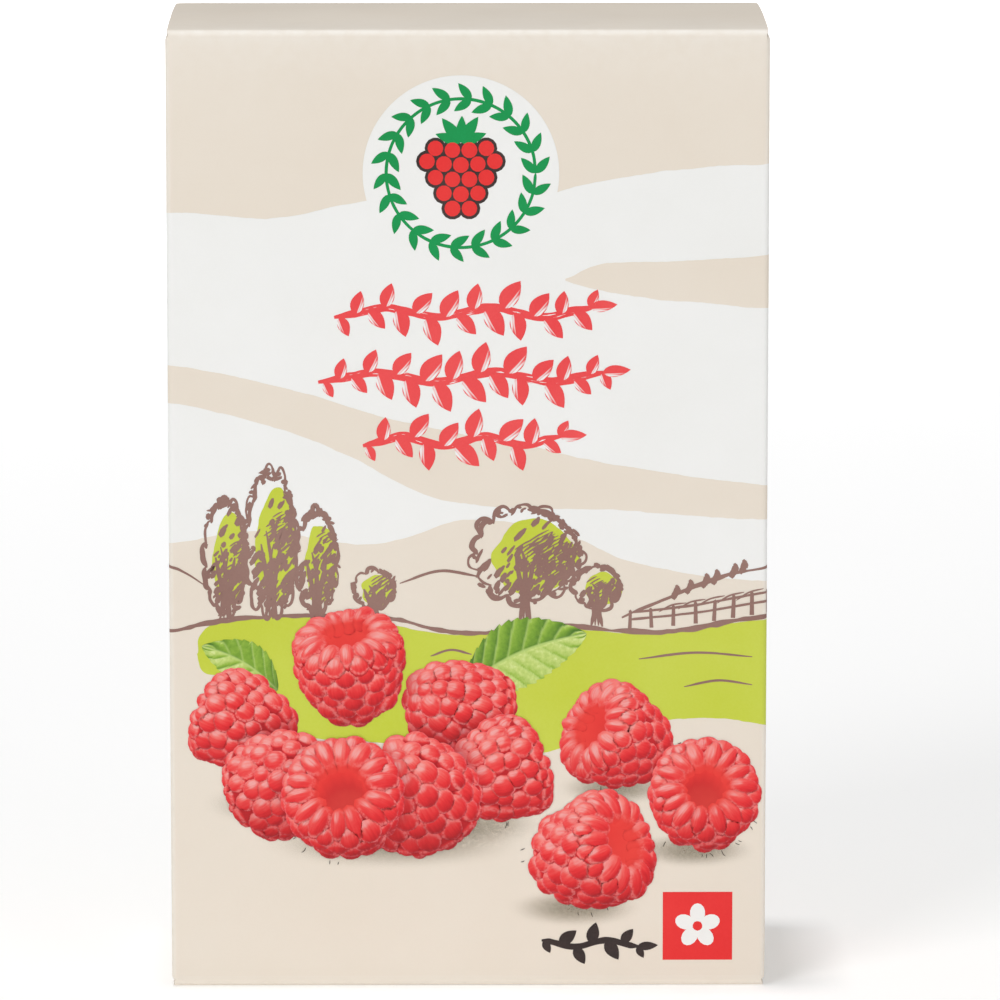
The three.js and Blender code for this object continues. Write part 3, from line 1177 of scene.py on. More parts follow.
def make_berry_tree():
    nodes, enter, leave = node_group("pressed_berry", "GeometryNodeTree", [
        ("Geometry", "Geometry", None), ("Points Round", "Int", BALL_SIDES), ("Rings", "Int", BALL_RINGS),
        ("Kept Depth", "Float", BERRY_FLATNESS), ("Ink", "Material", None),
    ], [("Geometry", "Geometry")])

    def noted(geometry, name, value):
        return nodes.out("GeometryNodeStoreNamedAttribute", {
            "Geometry": geometry, "Name": name, "Value": value}, data_type="FLOAT_VECTOR", domain="POINT")

    ball = nodes.out("GeometryNodeMeshUVSphere", {
        "Segments": enter["Points Round"], "Rings": enter["Rings"], "Radius": 1.0}, "Mesh")
    ball = noted(ball, "own_place", nodes.out("GeometryNodeInputPosition"))
    parts = nodes.add("GeometryNodeSeparateGeometry", {
        "Geometry": enter["Geometry"], "Selection": named(nodes, "drupelet", "FLOAT")}, domain="POINT")
    whole = nodes.add("GeometryNodeJoinGeometry")
    nodes.give(whole.inputs[0], instances(nodes, parts.outputs[0], ball, named(nodes, "turn"),
                                          named(nodes, "size")))
    nodes.give(whole.inputs[0], parts.outputs[1])
    smooth = nodes.out("GeometryNodeSetShadeSmooth", {"Geometry": whole.outputs[0]})
    facing = nodes.out("GeometryNodeInputNormal")
    away = nodes.out("FunctionNodeCompare", {
        0: nodes.out("ShaderNodeSeparateXYZ", {0: facing}, 2), 1: 0.0},
        operation="LESS_THAN", data_type="FLOAT")
    shown = nodes.out("GeometryNodeDeleteGeometry", {
        "Geometry": noted(smooth, "pictured", facing), "Selection": away}, domain="FACE")
    x, y, z = nodes.add("ShaderNodeSeparateXYZ", {0: nodes.out("GeometryNodeInputPosition")}).outputs
    flat = nodes.out("ShaderNodeCombineXYZ", {
        0: x, 1: y, 2: nodes.math("MULTIPLY", z, enter["Kept Depth"])})
    moved = nodes.out("GeometryNodeSetPosition", {"Geometry": shown, "Position": flat})
    inked = nodes.out("GeometryNodeSetMaterial", {"Geometry": moved, "Material": enter["Ink"]})
    nodes.give(leave["Geometry"], inked)
    return nodes.tree


BERRY_TREE = make_berry_tree()
print("tree", BERRY_TREE.name, "with", len(BERRY_TREE.nodes), "nodes")

# %% [markdown]
# Pictured light is worked out in one shared group from the direction that the pictured surface faces. It
# gives how much soft light from the upper left falls there, a gleam, and a pale rim where the surface
# turns away from the viewer, which is what the fine down on a berry or a leaf shows. It reads only the
# piece's own attribute, so the picture stays the same from every side.


# %% Pictured light
def make_pictured_light():
    nodes, _, leave = node_group("pictured_light", "ShaderNodeTree", [], [
        ("Lit", "Float"), ("Gleam", "Float"), ("Rim", "Float")])
    faced = nodes.vector("NORMALIZE", nodes.attribute("pictured", "Vector"))

    def towards(*direction):
        inputs = {0: faced, 1: tuple(Vector(direction).normalized())}
        return nodes.out("ShaderNodeVectorMath", inputs, 1, operation="DOT_PRODUCT")

    nodes.give(leave["Lit"], nodes.slope(towards(-0.35, 0.72, 0.6), -0.55, 1.0))
    gleam = nodes.math("MAXIMUM", towards(-0.3, 0.5, 0.81), 0.0)
    nodes.give(leave["Gleam"], nodes.math("POWER", gleam, 9.0))
    depth = nodes.out("ShaderNodeSeparateXYZ", {0: faced}, 2)
    nodes.give(leave["Rim"], nodes.spread(depth, 0.62, 0.12))
    return nodes.tree


PICTURED_LIGHT = make_pictured_light()
print("group", PICTURED_LIGHT.name, "with", len(PICTURED_LIGHT.nodes), "nodes")

# %% [markdown]
# The berry's ink takes its reds from a ramp over that light, and then lays on, one by one, what makes a
# raspberry: gleams broken up by streaks, pale edges, down, and dark creases at each drupelet's foot. Inside
# the hollow the ramp runs by depth instead. Mixed reds would do too, but a ramp is easier to tune, as each
# of its stops is a plain colour.


# %% The berry's ink
def ramp(nodes, value, *stops):
    """A colour ramp, each stop a place and a picture's colour."""
    made = nodes.add("ShaderNodeValToRGB", {0: value})
    elements = made.color_ramp.elements
    while len(elements) < len(stops):
        elements.new(0.5)
    for element, (place, *colour) in zip(elements, stops):
        element.position = place
        element.color = linear(*colour)
    return made.outputs[0]


def streaks(nodes, amount):
    """Fine lines along each drupelet, from its own coordinates and its tone, around nought."""
    apart = nodes.math("MULTIPLY", nodes.attribute("tone"), 30.0)
    long_way = nodes.vector("MULTIPLY", nodes.attribute("own_place", "Vector"), (0.8, 4.6, 0.0))
    place = nodes.vector("ADD", long_way, nodes.out("ShaderNodeCombineXYZ", {2: apart}))
    return nodes.slope(nodes.noise(place, 1, 3), 0.3, 0.7, -amount, amount)


def berry_paint(nodes):
    light = nodes.add("ShaderNodeGroup", node_tree=PICTURED_LIGHT).outputs
    place = nodes.here()
    down = nodes.noise(place, 2300, 2)
    lit = light["Lit"]
    for uneven in (nodes.slope(nodes.attribute("tone"), 0.0, 1.0, -0.1, 0.1), streaks(nodes, 0.12),
                   nodes.slope(nodes.noise(place, 420, 2), 0.3, 0.7, -0.07, 0.07)):
        lit = nodes.math("ADD", lit, uneven)
    body = ramp(nodes, lit, (0.0, 176, 12, 26), (0.3, 212, 24, 34), (0.56, 233, 42, 46), (0.8, 240, 74, 72),
                (1.0, 246, 122, 114))
    gleam = nodes.math("MULTIPLY", nodes.spread(light["Gleam"], 0.22, 0.8, 0.0, 0.72),
                       nodes.spread(streaks(nodes, 1.0), -0.7, 0.8, 0.45, 1.0))
    knob = nodes.out("ShaderNodeSeparateXYZ", {0: nodes.attribute("own_place", "Vector")}, 2)
    edge = nodes.math("MULTIPLY", nodes.spread(knob, 0.72, 0.5), nodes.spread(knob, 0.22, 0.42))
    edge = nodes.math("MULTIPLY", edge, nodes.spread(down, 0.35, 0.6, 0.15, 0.6))
    downy = nodes.math("MULTIPLY", light["Rim"], nodes.spread(down, 0.4, 0.62, 0.1, 0.5))
    crease = nodes.spread(knob, 0.3, 0.05)
    for amount, colour in ((gleam, (244, 184, 180)), (edge, (248, 150, 144)), (downy, (242, 124, 130)),
                           (crease, (196, 22, 32))):
        body = nodes.mix(amount, body, linear(*colour))
    inside = ramp(nodes, nodes.attribute("hollow"), (0.0, 236, 58, 50), (0.3, 230, 46, 42),
                  (0.65, 210, 36, 36), (1.0, 198, 34, 34))
    inside = nodes.mix(nodes.math("MULTIPLY", lit, 0.42), inside, linear(238, 74, 62))
    body = nodes.mix(nodes.attribute("sunk"), body, inside)
    return nodes.mix(nodes.attribute("shade"), body, linear(206, 150, 164), "MULTIPLY")


BERRY_INK = (varnished("raspberry_print", 1.4, berry_paint), "ink_red")
print("finish", BERRY_INK[0].name)

# %% [markdown]
# A berry is a heap of drupelets, each a small fruit of its own. Its axis points out of the hollow, towards
# the way it is turned in the picture. The rings follow an egg-shaped line from the rim to the tip, and
# each ring holds as many drupelets as fit round it. Each is set a little off its place, since rings that
# are too even look turned on a lathe.

# %% Drupelets
BERRY_LENGTH = 1.9  # of its largest radius
DRUPELET = 0.215  # half width of a drupelet, of the berry's largest radius
RIM_DRUPELETS = 14
UP = Vector((0, 0, 1))


def side_line(k):
    """Radius and height down the outside, from the rim at 0 to the tip at 1, for a berry of radius 1."""
    a = 0.5 * math.pi * k
    return 0.84 * max(0.0, math.cos(a)) ** 0.72, -0.34 - (BERRY_LENGTH - 0.55) * math.sin(a) ** 1.15


def frame_of(outwards, along):
    """The turn that points a drupelet's Z outwards and its X along the berry's side."""
    z = Vector(outwards).normalized()
    x = Vector(along) - z * Vector(along).dot(z)
    x.normalize()
    return Matrix((x, z.cross(x), z)).transposed()


def drupelets(rng):
    """The centre, turn matrix and half sizes of each drupelet of a berry of radius 1."""
    rows = []

    def put(centre, outwards, along, size):
        outwards.normalize()
        rows.append((centre + outwards * rng.uniform(-0.03, 0.03), frame_of(outwards, along), size))

    def sideways_at(angle):
        return Vector((math.cos(angle), math.sin(angle), 0))

    for i in range(RIM_DRUPELETS):
        angle = 2 * math.pi * (i + rng.uniform(-0.16, 0.16)) / RIM_DRUPELETS
        radial = sideways_at(angle)
        grown = rng.uniform(0.9, 1.14)
        long_size = (0.33 * rng.uniform(0.9, 1.08), 0.178 * grown, 0.24)
        put(radial * rng.uniform(0.61, 0.69) - UP * 0.2, radial * 0.32 + UP * 0.95, radial, long_size)
        radial = sideways_at(angle + math.pi / RIM_DRUPELETS)
        size = 0.205 * rng.uniform(0.88, 1.12)
        put(radial * 0.82 - UP * 0.27, radial * 0.65 + UP * 0.76, radial, (size, size, 0.18))
    line = np.array([side_line(k) for k in np.linspace(0, 1, 200)])
    far = np.concatenate([[0], np.cumsum(np.hypot(*np.diff(line, axis=0).T))])

    def on_line(distance):
        return np.array([np.interp(distance, far, line[:, c]) for c in (0, 1)])

    rings = int(round(far[-1] / (1.42 * DRUPELET)))
    for j in range(rings + 1):
        distance = far[-1] * (j + 0.4) / (rings + 0.4)
        radius, height = on_line(distance)
        ahead = on_line(distance + 0.02) - on_line(distance - 0.02)
        ahead /= np.hypot(*ahead)
        count = max(1, int(round(2 * math.pi * radius / (1.72 * DRUPELET))))
        for i in range(count):
            radial = sideways_at(2 * math.pi * (i + 0.5 * (j % 2) + rng.uniform(-0.17, 0.17)) / count)
            down = radial * ahead[0] + UP * ahead[1]
            outwards = radial * -ahead[1] + UP * ahead[0]
            if count == 1:
                outwards, down = -UP, Vector((1, 0, 0))
            size = DRUPELET * rng.uniform(0.88, 1.16)
            put(radial * radius + UP * height, outwards, down, (size * 1.04, size, size * 0.92))
    return rows


print("a berry has about", len(drupelets(np.random.default_rng(0))), "drupelets")

# %% [markdown]
# Under the drupelets lies the berry's body, so that no gap shows between them: rings of points from the
# tip over the rim and down into the hollow, which is ribbed where the core came away. Points for drupelets
# and rings of the body go into one mesh, and an attribute tells the tree which is which.

# %% The berry's body
BODY_SIDES = 30
BERRY_MIDDLE = Vector((0, 0, -0.5 * BERRY_LENGTH))


def body_rings():
    """Radius, height and depth in the hollow, from the tip over the rim to the bottom of the hollow."""
    outside = [(*side_line(k), 0.0) for k in np.linspace(0.999, 0.0, 14)]
    rim = [(0.76, -0.2, 0.0), (0.66, -0.13, 0.0), (0.54, -0.16, 0.0)]
    inside = [(0.47 - 0.12 * k, -0.2 - 0.85 * k, 0.02 + 0.75 * k) for k in np.linspace(0, 1, 8)]
    floor = [(0.35 * math.cos(a), -1.05 - 0.18 * math.sin(a), 0.8 + 0.2 * math.sin(a))
             for a in np.linspace(0.3, 0.499 * math.pi, 4)]
    return outside + rim + inside + floor


def berry_mesh(centre, radius, turn, rng):
    """Points for the drupelets and faces for the body, turned as pictured, in metres on the flat print."""
    scale = radius * MM
    origin = Vector((centre[0] * MM, centre[1] * MM, 0))
    rows = []  # each with a place, a turn, a size, a tone, a 1 for a drupelet, and a depth in the hollow
    for at, own_turn, size in drupelets(rng):
        rows.append([*(origin + turn @ (at - BERRY_MIDDLE) * scale), *(turn @ own_turn).to_euler(),
                     *(s * scale for s in size), rng.uniform(0, 1), 1, 0.12])
    first = len(rows)
    rings = body_rings()
    for ring_radius, height, deep in rings:
        for i in range(BODY_SIDES):
            angle = 2 * math.pi * i / BODY_SIDES
            ribbed = ring_radius * (1 + (0.045 if deep else 0.0) * math.cos(0.5 * BODY_SIDES * angle))
            at = Vector((ribbed * math.cos(angle), ribbed * math.sin(angle), height))
            rows.append([*(origin + turn @ (at - BERRY_MIDDLE) * scale), 0, 0, 0, 1, 1, 1, 0.5, 0, deep])
    rows = np.array(rows)
    faces = grid_faces(len(rings), BODY_SIDES, first, closed=True)
    return mesh_of("berry", rows[:, :3], faces, turn=rows[:, 3:6], size=rows[:, 6:9], tone=rows[:, 9],
                   drupelet=rows[:, 10], hollow=rows[:, 11])


print("the body has", len(body_rings()), "rings")

# %% [markdown]
# The tree grows the berry and presses it. Two more attributes are then worked out for each of its points:
# how deep in the hollow it was, and how much the berries in front keep the light off it. The tree could do
# that too, but it would have to be told where all the other berries are.


# %% A pressed berry
def read_attribute(mesh, name):
    values = np.zeros(len(mesh.vertices), np.float32)
    mesh.attributes[name].data.foreach_get("value", values)
    return values


def pressed_berry(centre, radius, axis, seed, in_front):
    """A pressed berry, shaded where another berry in front of it keeps the light off."""
    rng = np.random.default_rng(seed)
    turn = Vector(axis).normalized().to_track_quat("Z", "Y").to_matrix()
    turn = turn @ Matrix.Rotation(rng.uniform(0, 6.28), 3, "Z")
    made = grow(berry_mesh(centre, radius, turn, rng), BERRY_TREE, {
        "Points Round": BALL_SIDES, "Rings": BALL_RINGS, "Kept Depth": BERRY_FLATNESS, "Ink": BERRY_INK[0]})
    here = places_of(made) / MM
    whole = (here - (*centre, 0)) / radius
    whole[:, 2] /= BERRY_FLATNESS
    own = whole @ np.array(turn) + np.array(BERRY_MIDDLE)  # in the berry's own frame, as before pressing
    inner_end = np.clip((0.6 - np.hypot(own[:, 0], own[:, 1])) / 0.22, 0, 1) * (own[:, 2] > -0.9)
    in_hollow = np.clip(read_attribute(made, "hollow") * 50, 0, 1)
    sunk = np.where(read_attribute(made, "drupelet") > 0.5, inner_end**1.5, in_hollow)
    shade = 0.65 * np.clip(0.1 - (here[:, 1] - centre[1]) / radius, 0, 1) ** 2
    for x, y, other in in_front:
        gap = np.hypot(here[:, 0] - x, here[:, 1] - y) - other
        shade = np.maximum(shade, np.clip(1 - gap / (0.42 * radius), 0, 1) ** 1.5)
    set_attributes(made, sunk=sunk, shade=np.clip(shade, 0, 1))
    for label in ("turn", "size", "drupelet"):
        made.attributes.remove(made.attributes[label])
    return made


print("a berry is pressed to", BERRY_FLATNESS, "of its depth")

# %% [markdown]
# The berries lie in a loose pile on the left of the front, with three more scattered to the right, each
# turned another way, and a few lie on the sides and the back. They are set down from back to front, each a
# little higher in the print than the last.

# %% The pile of berries
BERRY_STEP = 0.02  # how far a berry's print lies above that of the one behind it
PILE = [  # across, up, radius, and where the hollow points: right, up and to the viewer
    ((-38.5, 47.0), 8.9, (-0.75, 0.35, -0.3)),
    ((-3.0, 50.6), 9.4, (0.7, -0.35, -0.35)),
    ((-20.5, 56.2), 9.8, (-0.12, 0.86, 0.55)),
    ((-31.5, 37.6), 9.6, (-0.6, -0.3, -0.55)),
    ((4.2, 38.4), 9.3, (0.9, 0.3, -0.25)),
    ((-9.6, 36.2), 10.4, (0.3, -0.55, -0.6)),
    ((-21.6, 32.8), 10.6, (-0.1, 0.32, 0.95)),
]
LOOSE = [
    ((27.6, 44.2), 9.3, (-0.72, 0.34, 0.6)),
    ((41.2, 33.4), 9.8, (0.1, 0.3, 0.94)),
    ((20.4, 23.6), 10.5, (0.74, 0.26, 0.58)),
]
SIDE_BERRIES = [
    ((SIDE_MIDDLE - 8.6, 31.4), 8.6, (-0.5, 0.42, 0.68)),
    ((SIDE_MIDDLE + 6.4, 26.2), 9.4, (0.2, 0.24, 0.94)),
    ((-SIDE_MIDDLE + 8.2, 32.0), 8.8, (0.62, 0.5, 0.4)),
    ((-SIDE_MIDDLE - 6.6, 26.8), 9.4, (-0.66, -0.3, -0.5)),
]
BACK_BERRIES = [
    ((BACK_MIDDLE - 22.5, 45.0), 9.2, (0.1, 0.85, 0.5)),
    ((BACK_MIDDLE - 34.0, 33.6), 9.6, (-0.7, 0.2, -0.5)),
    ((BACK_MIDDLE - 16.5, 30.0), 10.2, (0.16, 0.26, 0.95)),
    ((BACK_MIDDLE + 26.5, 29.0), 9.8, (-0.7, 0.3, 0.62)),
]


def print_berries(name, berries, seed):
    meshes = []
    for i, (centre, radius, axis) in enumerate(berries):
        front = [(*c, 0.94 * r) for c, r, _ in berries[i + 1:] if math.dist(c, centre) < 1.3 * (r + radius)]
        made = pressed_berry(centre, radius, axis, seed + i, front)
        meshes.append(move(made, places_of(made) + (0, 0, i * BERRY_STEP * MM)))
    settle(name, fold_round(name, joined(name, meshes)), BERRY_INK[:1])


print_berries("raspberry_pile", PILE, 100)
print_berries("loose_raspberries", LOOSE, 200)
print_berries("side_raspberries", SIDE_BERRIES, 300)
print_berries("back_raspberries", BACK_BERRIES, 400)

# %% [markdown]
# The pictured berries stand on pictured ground, so each has a soft shadow under it. No lamp can cast it,
# because nothing really stands there. So a shadow is a disc whose ink thins out to nothing: the fade is a
# vertex attribute, and it drives the ink's transparency.

# %% Printed shadows
SHADOW_RINGS = 9
SHADOW_SIDES = 36


def shadow_ink():
    finish, nodes, surface = new_finish("shadow_print", Roughness=0.45)
    grain = nodes.noise(nodes.here(), 2200, 1)
    nodes.give(surface["Base Color"], nodes.mix(grain, linear(128, 118, 96), linear(150, 140, 116)))
    grainy = nodes.spread(grain, 0.3, 0.7, 0.85, 1.0)
    nodes.give(surface["Alpha"], nodes.math("MULTIPLY", nodes.attribute("fade"), grainy))
    return finish, "ink_brown"


SHADOW_INK = shadow_ink()


def print_shadows(name, spots):
    """Soft discs: each spot is a centre across and up, two radii and its darkness in the middle."""
    points, faces, fades = [], [], []
    for x, y, wide, tall, dark in spots:
        first = len(points) + 1
        points.append((x, y))
        fades.append(dark)
        for j in range(1, SHADOW_RINGS + 1):
            r = j / SHADOW_RINGS
            points += circle(x, y, wide * r, SHADOW_SIDES, tall * r)
            fades += [dark * (1 - r * r) ** 2] * SHADOW_SIDES
        faces += [(first - 1, first + i, first + (i + 1) % SHADOW_SIDES) for i in range(SHADOW_SIDES)]
        faces += grid_faces(SHADOW_RINGS, SHADOW_SIDES, first, closed=True)
    mesh = mesh_of(name, [(x * MM, y * MM, 0) for x, y in points], faces, fade=fades)
    print_ink(name, [mesh], SHADOW_INK)


print_shadows("pile_shadow", [(-13, 26.2, 24, 5.2, 0.6), (1, 29.4, 13, 4.2, 0.5), (-36, 33, 11, 4, 0.35)])
ALONE = LOOSE + SIDE_BERRIES + BACK_BERRIES[1:]
print_shadows("loose_shadows", [(x - 1.5, y - 0.9 * r, 1.15 * r, 0.34 * r, 0.62) for (x, y), r, _ in ALONE])

# %% [markdown]
# The leaf is pictured like the berries. Its two halves fold up a little from the midrib, the skin swells
# between the side veins, and the edge is cut into teeth that lean towards the tip. The heights are worked
# out on a grid, the facing directions are taken from them, and then only the flat outline is kept.

# %% Printed leaves
LEAF_ROWS = 97
LEAF_COLUMNS = 33


def leaf_paint(nodes):
    light = nodes.add("ShaderNodeGroup", node_tree=PICTURED_LIGHT).outputs
    grain = nodes.slope(nodes.noise(nodes.here(), 1500, 3), 0.3, 0.7, -0.06, 0.06)
    body = ramp(nodes, nodes.math("ADD", light["Lit"], grain), (0.3, 74, 120, 28), (0.55, 118, 160, 40),
                (0.74, 150, 186, 62), (0.92, 196, 215, 118), (1.0, 216, 229, 152))
    for name, most, colour in (("vein", 0.7, (196, 218, 132)), ("shade", 0.6, (58, 96, 28))):
        body = nodes.mix(nodes.math("MULTIPLY", nodes.attribute(name), most), body, linear(*colour))
    return body


LEAF_INK = (varnished("leaf_print", 1.46, leaf_paint), "ink_green")


def print_leaf(name, stalk, tip, width, bend, teeth=13, veins=8.0):
    """A leaf between two places on the print, bent sideways by the bend given, all in millimetres."""
    stalk, tip = np.array(stalk, float), np.array(tip, float)
    length = np.hypot(*(tip - stalk))
    ahead = (tip - stalk) / length
    left = np.array([-ahead[1], ahead[0]])
    t, c = np.meshgrid(np.linspace(0, 1, LEAF_ROWS), np.linspace(-1, 1, LEAF_COLUMNS), indexing="ij")
    saw = (t * teeth - 0.25 * np.abs(c)) % 1.0
    edge = np.sin(np.pi * t**0.86) ** 0.72 * (1 + 0.1 * (saw - 0.5)) * (1 - 0.12 * t)
    side = c * np.maximum(edge, 0.0) * width / 2
    forward = t * length + 0.16 * np.abs(side) * (1 - t)
    place = stalk + forward[..., None] * ahead + (side + bend * np.sin(np.pi * t))[..., None] * left
    phase = (t * veins - np.abs(c) * 1.15) % 1.0
    puff = np.abs(np.sin(np.pi * phase)) ** 0.7
    height = 0.5 * puff * np.abs(c) ** 0.3 + 0.34 * np.abs(side) - 0.05 * side**2 / width
    height += 0.5 * np.sin(3 * t)
    shape = np.concatenate([place, height[..., None]], axis=2)
    normal = np.cross(np.gradient(shape, axis=0), np.gradient(shape, axis=1))
    normal /= np.maximum(1e-9, np.linalg.norm(normal, axis=2))[..., None]
    normal *= np.where(normal[..., 2:] < 0, -1, 1)
    vein = np.maximum(np.clip(1 - np.abs(side) / 0.3, 0, 1),
                      np.clip(1 - np.minimum(phase, 1 - phase) * 9, 0, 1) * 0.75)
    shape[..., 2] = 0
    mesh = mesh_of(name, shape.reshape(-1, 3) * MM, grid_faces(LEAF_ROWS, LEAF_COLUMNS),
                   pictured=normal.reshape(-1, 3), vein=vein.ravel(),
                   shade=np.clip(1 - t.ravel() * 3.4, 0, 1) ** 1.5)
    print_ink(name, [mesh], LEAF_INK)


print_leaf("leaf", (-0.5, 54.5), (20.8, 63.6), 12.6, 1.5)
print_leaf("small_leaf", (-33.5, 53.5), (-46.8, 61.4), 8.4, -1.2, teeth=10, veins=6.0)
print_leaf("back_leaf", (BACK_MIDDLE - 14, 42), (BACK_MIDDLE + 5, 49.4), 11.4, 1.4)

# %% [markdown]
# The landscape behind is a pen sketch with lime washed over it, a little beside its lines. A tree is a
# lumpy outline drawn with an uneven pen, a trunk of a few strokes, hatching across its shaded side and a
# scatter of leaf dabs. Rules draw all of that, and chance, from one fixed seed, makes no two trees alike.


# %% A pen for the landscape
class Sketch:
    """Pen lines, hatching, dabs and posts in one ink, with the lime wash under them."""

    def __init__(self, seed):
        self.rng = np.random.default_rng(seed)
        self.lines, self.wash = Layer(), Layer()
        self.dabs, self.posts = Marks(DAB_MARK), Marks(POST_MARK)
        self.strokes = 0

    def line(self, points, width=0.5, **more):
        self.strokes += 1
        level = MARK_STEP * (self.strokes % MARK_LEVELS + 0.5)  # half a step off every mark
        stroke(self.lines, points, width, self.rng, raise_by=level, **more)

    def tree(self, x, foot, crown, wide, tall, lumps=9):
        """A tree whose crown's middle is at the height given, with half width and half height."""
        rng = self.rng
        wash = [(x + 0.16 * wide + 0.3 + 0.84 * wide * math.cos(a) * rng.uniform(0.88, 1.1),
                 crown - 0.3 + 0.86 * tall * math.sin(a) * rng.uniform(0.9, 1.08))
                for a in np.linspace(0, 2 * math.pi, 14, endpoint=False)]
        self.wash.polygon(rough_edge(wash, rng, 0.5, closed=True))
        self.crown(x, crown, wide, tall, lumps)
        self.trunk(x, foot, crown, tall)
        lean = math.radians(54)
        for _ in range(int(wide * tall * 6.5)):
            angle, r = rng.uniform(0, 2 * math.pi), rng.uniform(0.0, 1.0) ** 0.5
            shaded = 0.42 + 0.62 * r * math.cos(angle + 0.95)
            if rng.uniform(0, 1) ** 0.8 < shaded:
                self.dabs.put(x + wide * r * math.cos(angle), crown + tall * r * math.sin(angle),
                              lean + rng.uniform(-0.2, 0.2), rng.uniform(0.8, 3.0), rng.uniform(1.0, 2.6))
        for _ in range(2 + int(wide * 0.6)):
            px, py = x + wide * rng.uniform(-0.55, 0.5), crown + tall * rng.uniform(-0.5, 0.55)
            long = rng.uniform(0.28, 0.44) * wide + 0.4
            for _ in range(rng.integers(3, 7)):
                self.line([(px, py), (px + 0.5 * long, py + 0.34 * long), (px + long, py + 0.6 * long)],
                          0.26, rough=0.2, taper=(0.2, 0.5))
                px, py = px + 0.56, py - 0.34

    def crown(self, x, y, wide, tall, lumps):
        """An outline of lumps, each a short arc of the pen, some gone over twice, and dabs along it."""
        rng = self.rng
        gap = 2 * math.pi / lumps
        for k in range(lumps):
            start = -math.pi / 2 + gap * (k + 0.1)
            for again in range(2 if rng.uniform(0, 1) < 0.35 else 1):
                swell = rng.uniform(1.06, 1.2) - 0.07 * again
                turns = start + gap * np.array([0.0, 0.3, 0.7, 1.06 + rng.uniform(0, 0.1)])
                reach = np.array([0.98, swell, swell * rng.uniform(0.97, 1.02), 0.95])
                arc = np.stack([x + wide * reach * np.cos(turns), y + tall * reach * np.sin(turns)], 1)
                self.line(arc, rng.uniform(0.42, 0.78), rough=0.5, taper=(0.2, 0.2), step=0.3)
        for _ in range(int(4.2 * (wide + tall))):
            turn = rng.normal(0.75, 1.1)
            reach = rng.uniform(0.98, 1.14)
            self.dabs.put(x + wide * reach * math.cos(turn), y + tall * reach * math.sin(turn),
                          turn + 1.57 + rng.uniform(-0.9, 0.9), rng.uniform(0.7, 1.7), rng.uniform(0.9, 2.4))

    def trunk(self, x, foot, crown, tall):
        top = crown - 0.3 * tall
        for side in (-1, 1):
            self.line([(x + side, foot), (x + side * 0.5, foot * 0.5 + top * 0.5),
                       (x + side * 1.7, top + 0.3 * tall)], 0.75)
        self.line([(x + 0.3, foot + 0.2), (x + 0.1, top), (x - 0.8, crown + 0.2 * tall)], 0.6)
        self.line([(x - 0.3, foot + 0.2), (x - 0.1, top), (x + 0.5, crown)], 0.5)

    def fence(self, path, gap, tall):
        """Posts along a path, with two rails, growing towards its end."""
        path = smooth_path(path, gap)
        growth = np.linspace(0.75, 1.15, len(path))
        for (x, y), k in zip(path, growth):
            self.posts.put(x, y - 0.3, 0.0, 0.85 * k, tall * k)
        for level in (0.42, 0.78):
            rail = [(x, y + level * tall * k) for (x, y), k in zip(path, growth)]
            self.line(rail, 0.42, rough=0.2, taper=(0.02, 0.02))


print("lines of the pen lie at", MARK_LEVELS, "levels,", MARK_STEP, "mm apart")

# %% [markdown]
# The lines of the hills run on round all four panels, and a rail fence ties them together. Poplars and round
# trees stand behind the meadow, each given by its place and its size, and the ink is printed over the wash.

# %% The landscape
LANDSCAPE_SEED = 41
POPLARS = [(-42.6, 3.5, 9.4), (-34.6, 4.1, 11.8), (-26.6, 3.3, 8.6)]  # across, half width, half height
BACK_POPLARS = 154.0  # how far along the board they stand a second time
TREES = [  # across, foot, middle of the crown, half width, half height, lumps
    (10.0, 65.0, 77.6, 8.8, 7.8, 15), (22.6, 64.8, 71.8, 3.8, 3.5, 9), (-16.6, 66.0, 71.6, 3.4, 3.1, 9),
    (86.5, 63.2, 71.0, 4.8, 4.4, 11), (-85.5, 66.4, 74.8, 5.4, 5.0, 11), (-70.5, 65.0, 70.4, 3.2, 3.0, 9),
    (174.0, 66.0, 77.2, 8.2, 7.4, 15), (187.5, 66.2, 72.6, 3.8, 3.6, 9), (139.5, 66.4, 71.4, 3.2, 3.0, 9),
]
FURROWS = [(40, 59.6, 10), (-3, 60.2, 3.6), (44, 54.6, 6), (-20, 50.6, 4), (70, 57, 9), (-70, 58, 9),
           (120, 58.6, 11), (170, 57.6, 12), (186, 52.6, 6)]  # middle across and up, and half length


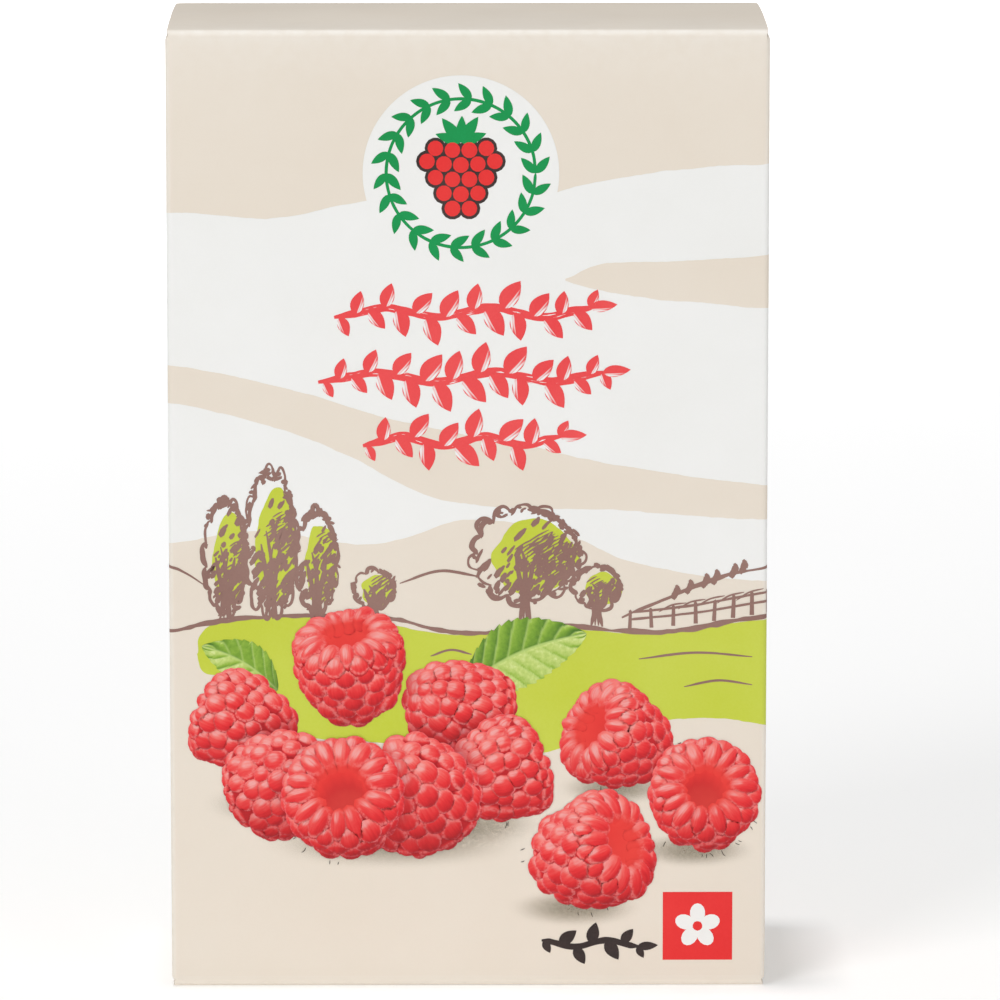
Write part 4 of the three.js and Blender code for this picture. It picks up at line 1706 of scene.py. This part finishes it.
def make_landscape():
    view = Sketch(LANDSCAPE_SEED)
    view.line([(LEFT_EDGE + 0.3, 65), (-88, 66.6), (-70, 64.8), (-52.9, 64.0), (-44, 65.8), (-30, 66.8),
               (-14, 66.2), (0, 63.6), (14, 65.2), (33, 63.8), (53, 66.6), (64, 66.4), (80, 63.6),
               (100, 62.4), (118, 65.0), (140, 66.6), (160, 64.4), (182, 66.4), (RIGHT_EDGE - 0.3, 65)],
              0.72, rough=0.6, taper=(0.01, 0.01))
    view.line([(27, 66.4), (34, 69.6), (44, 73.4), (53, 75.4), (70, 77.4), (84, 77), (98, 73), (112, 67)],
              0.6, rough=0.5, taper=(0.1, 0.1))
    view.line([(-94, 67.6), (-80, 73.4), (-64, 77), (-53, 75.6), (-49.6, 74.4), (-46.2, 72.2)], 0.55)
    view.line([(-12, 72.6), (-5, 74.8), (2, 73.8)])
    view.line([(140, 72), (150, 75.4), (160, 73.4)])
    for x, y, half in FURROWS:
        view.line([(x - half, y - 0.6), (x, y + 0.5), (x + half, y - 0.3)], 0.42)
    for x in (36.2, 38.6, 41.4, 43.2, 46.4, 48.0):
        ridge = 66.4 + 0.372 * (x - 27) + 0.6
        for k in range(3):
            view.dabs.put(x + 0.3 * k, ridge + 0.55 * k, 1.3 + 0.25 * k, 1.7, 2.4)
    for k in range(5):
        x = 33.5 + 3.4 * k
        view.line([(x, 67.4 + 0.5 * k), (x + 2.2, 68.6 + 0.55 * k), (x + 4.8, 69.0 + 0.62 * k)], 0.3)
    for shift in (0, BACK_POPLARS):
        for x, wide, tall in POPLARS:
            view.tree(x + shift, 66.0, 67.8 + tall, wide, tall, lumps=13)
    for tree in TREES:
        view.tree(*tree)
    view.fence([(28.4, 64.6), (40, 65.6), (53, 67.4), (64, 67.2), (73, 65.6)], 3.9, 4.6)
    view.fence([(144, 66.4), (153, 65.8), (162, 65.2)], 3.4, 4.0)
    print_ink("landscape_wash", [view.wash.flat_mesh()], LIME_INK)
    marks = [view.dabs.grown(LANDSCAPE_SEED, BROWN_PEN, 0.1, 0.06),
             view.posts.grown(LANDSCAPE_SEED + 1, BROWN_PEN, 0.05, 0.06)]
    print_ink("landscape_lines", [view.lines.flat_mesh(), *marks], BROWN_PEN)


make_landscape()

# %% [markdown]
# A few stray hairs of the fruit lie round the berries, as thin as a pen can draw them. They are strokes
# too, short ones that start at a berry's edge and bend a little.

# %% Hairs round the berries
HAIRS_EACH = 9
hair_rng = np.random.default_rng(61)
hairs = Layer()
for (x, y), radius, _ in ALONE + PILE[3:]:
    for _ in range(HAIRS_EACH):
        angle = hair_rng.uniform(math.pi * 0.9, math.pi * 2.1)
        start = np.array([x + radius * math.cos(angle), y + 0.97 * radius * math.sin(angle)])
        out = np.array([math.cos(angle + hair_rng.uniform(-0.7, 0.7)),
                        math.sin(angle + hair_rng.uniform(-0.7, 0.7))])
        bend = np.array([-out[1], out[0]]) * hair_rng.uniform(-0.5, 0.5)
        length = hair_rng.uniform(0.5, 1.3)
        middle, end = start + out * length * 0.5 + bend * 0.3, start + out * length + bend * 0.1
        stroke(hairs, [start, middle, end], 0.12, hair_rng, step=0.2)
print_ink("hairs", [hairs.flat_mesh()], DARK_BRUSH)

# %% [markdown]
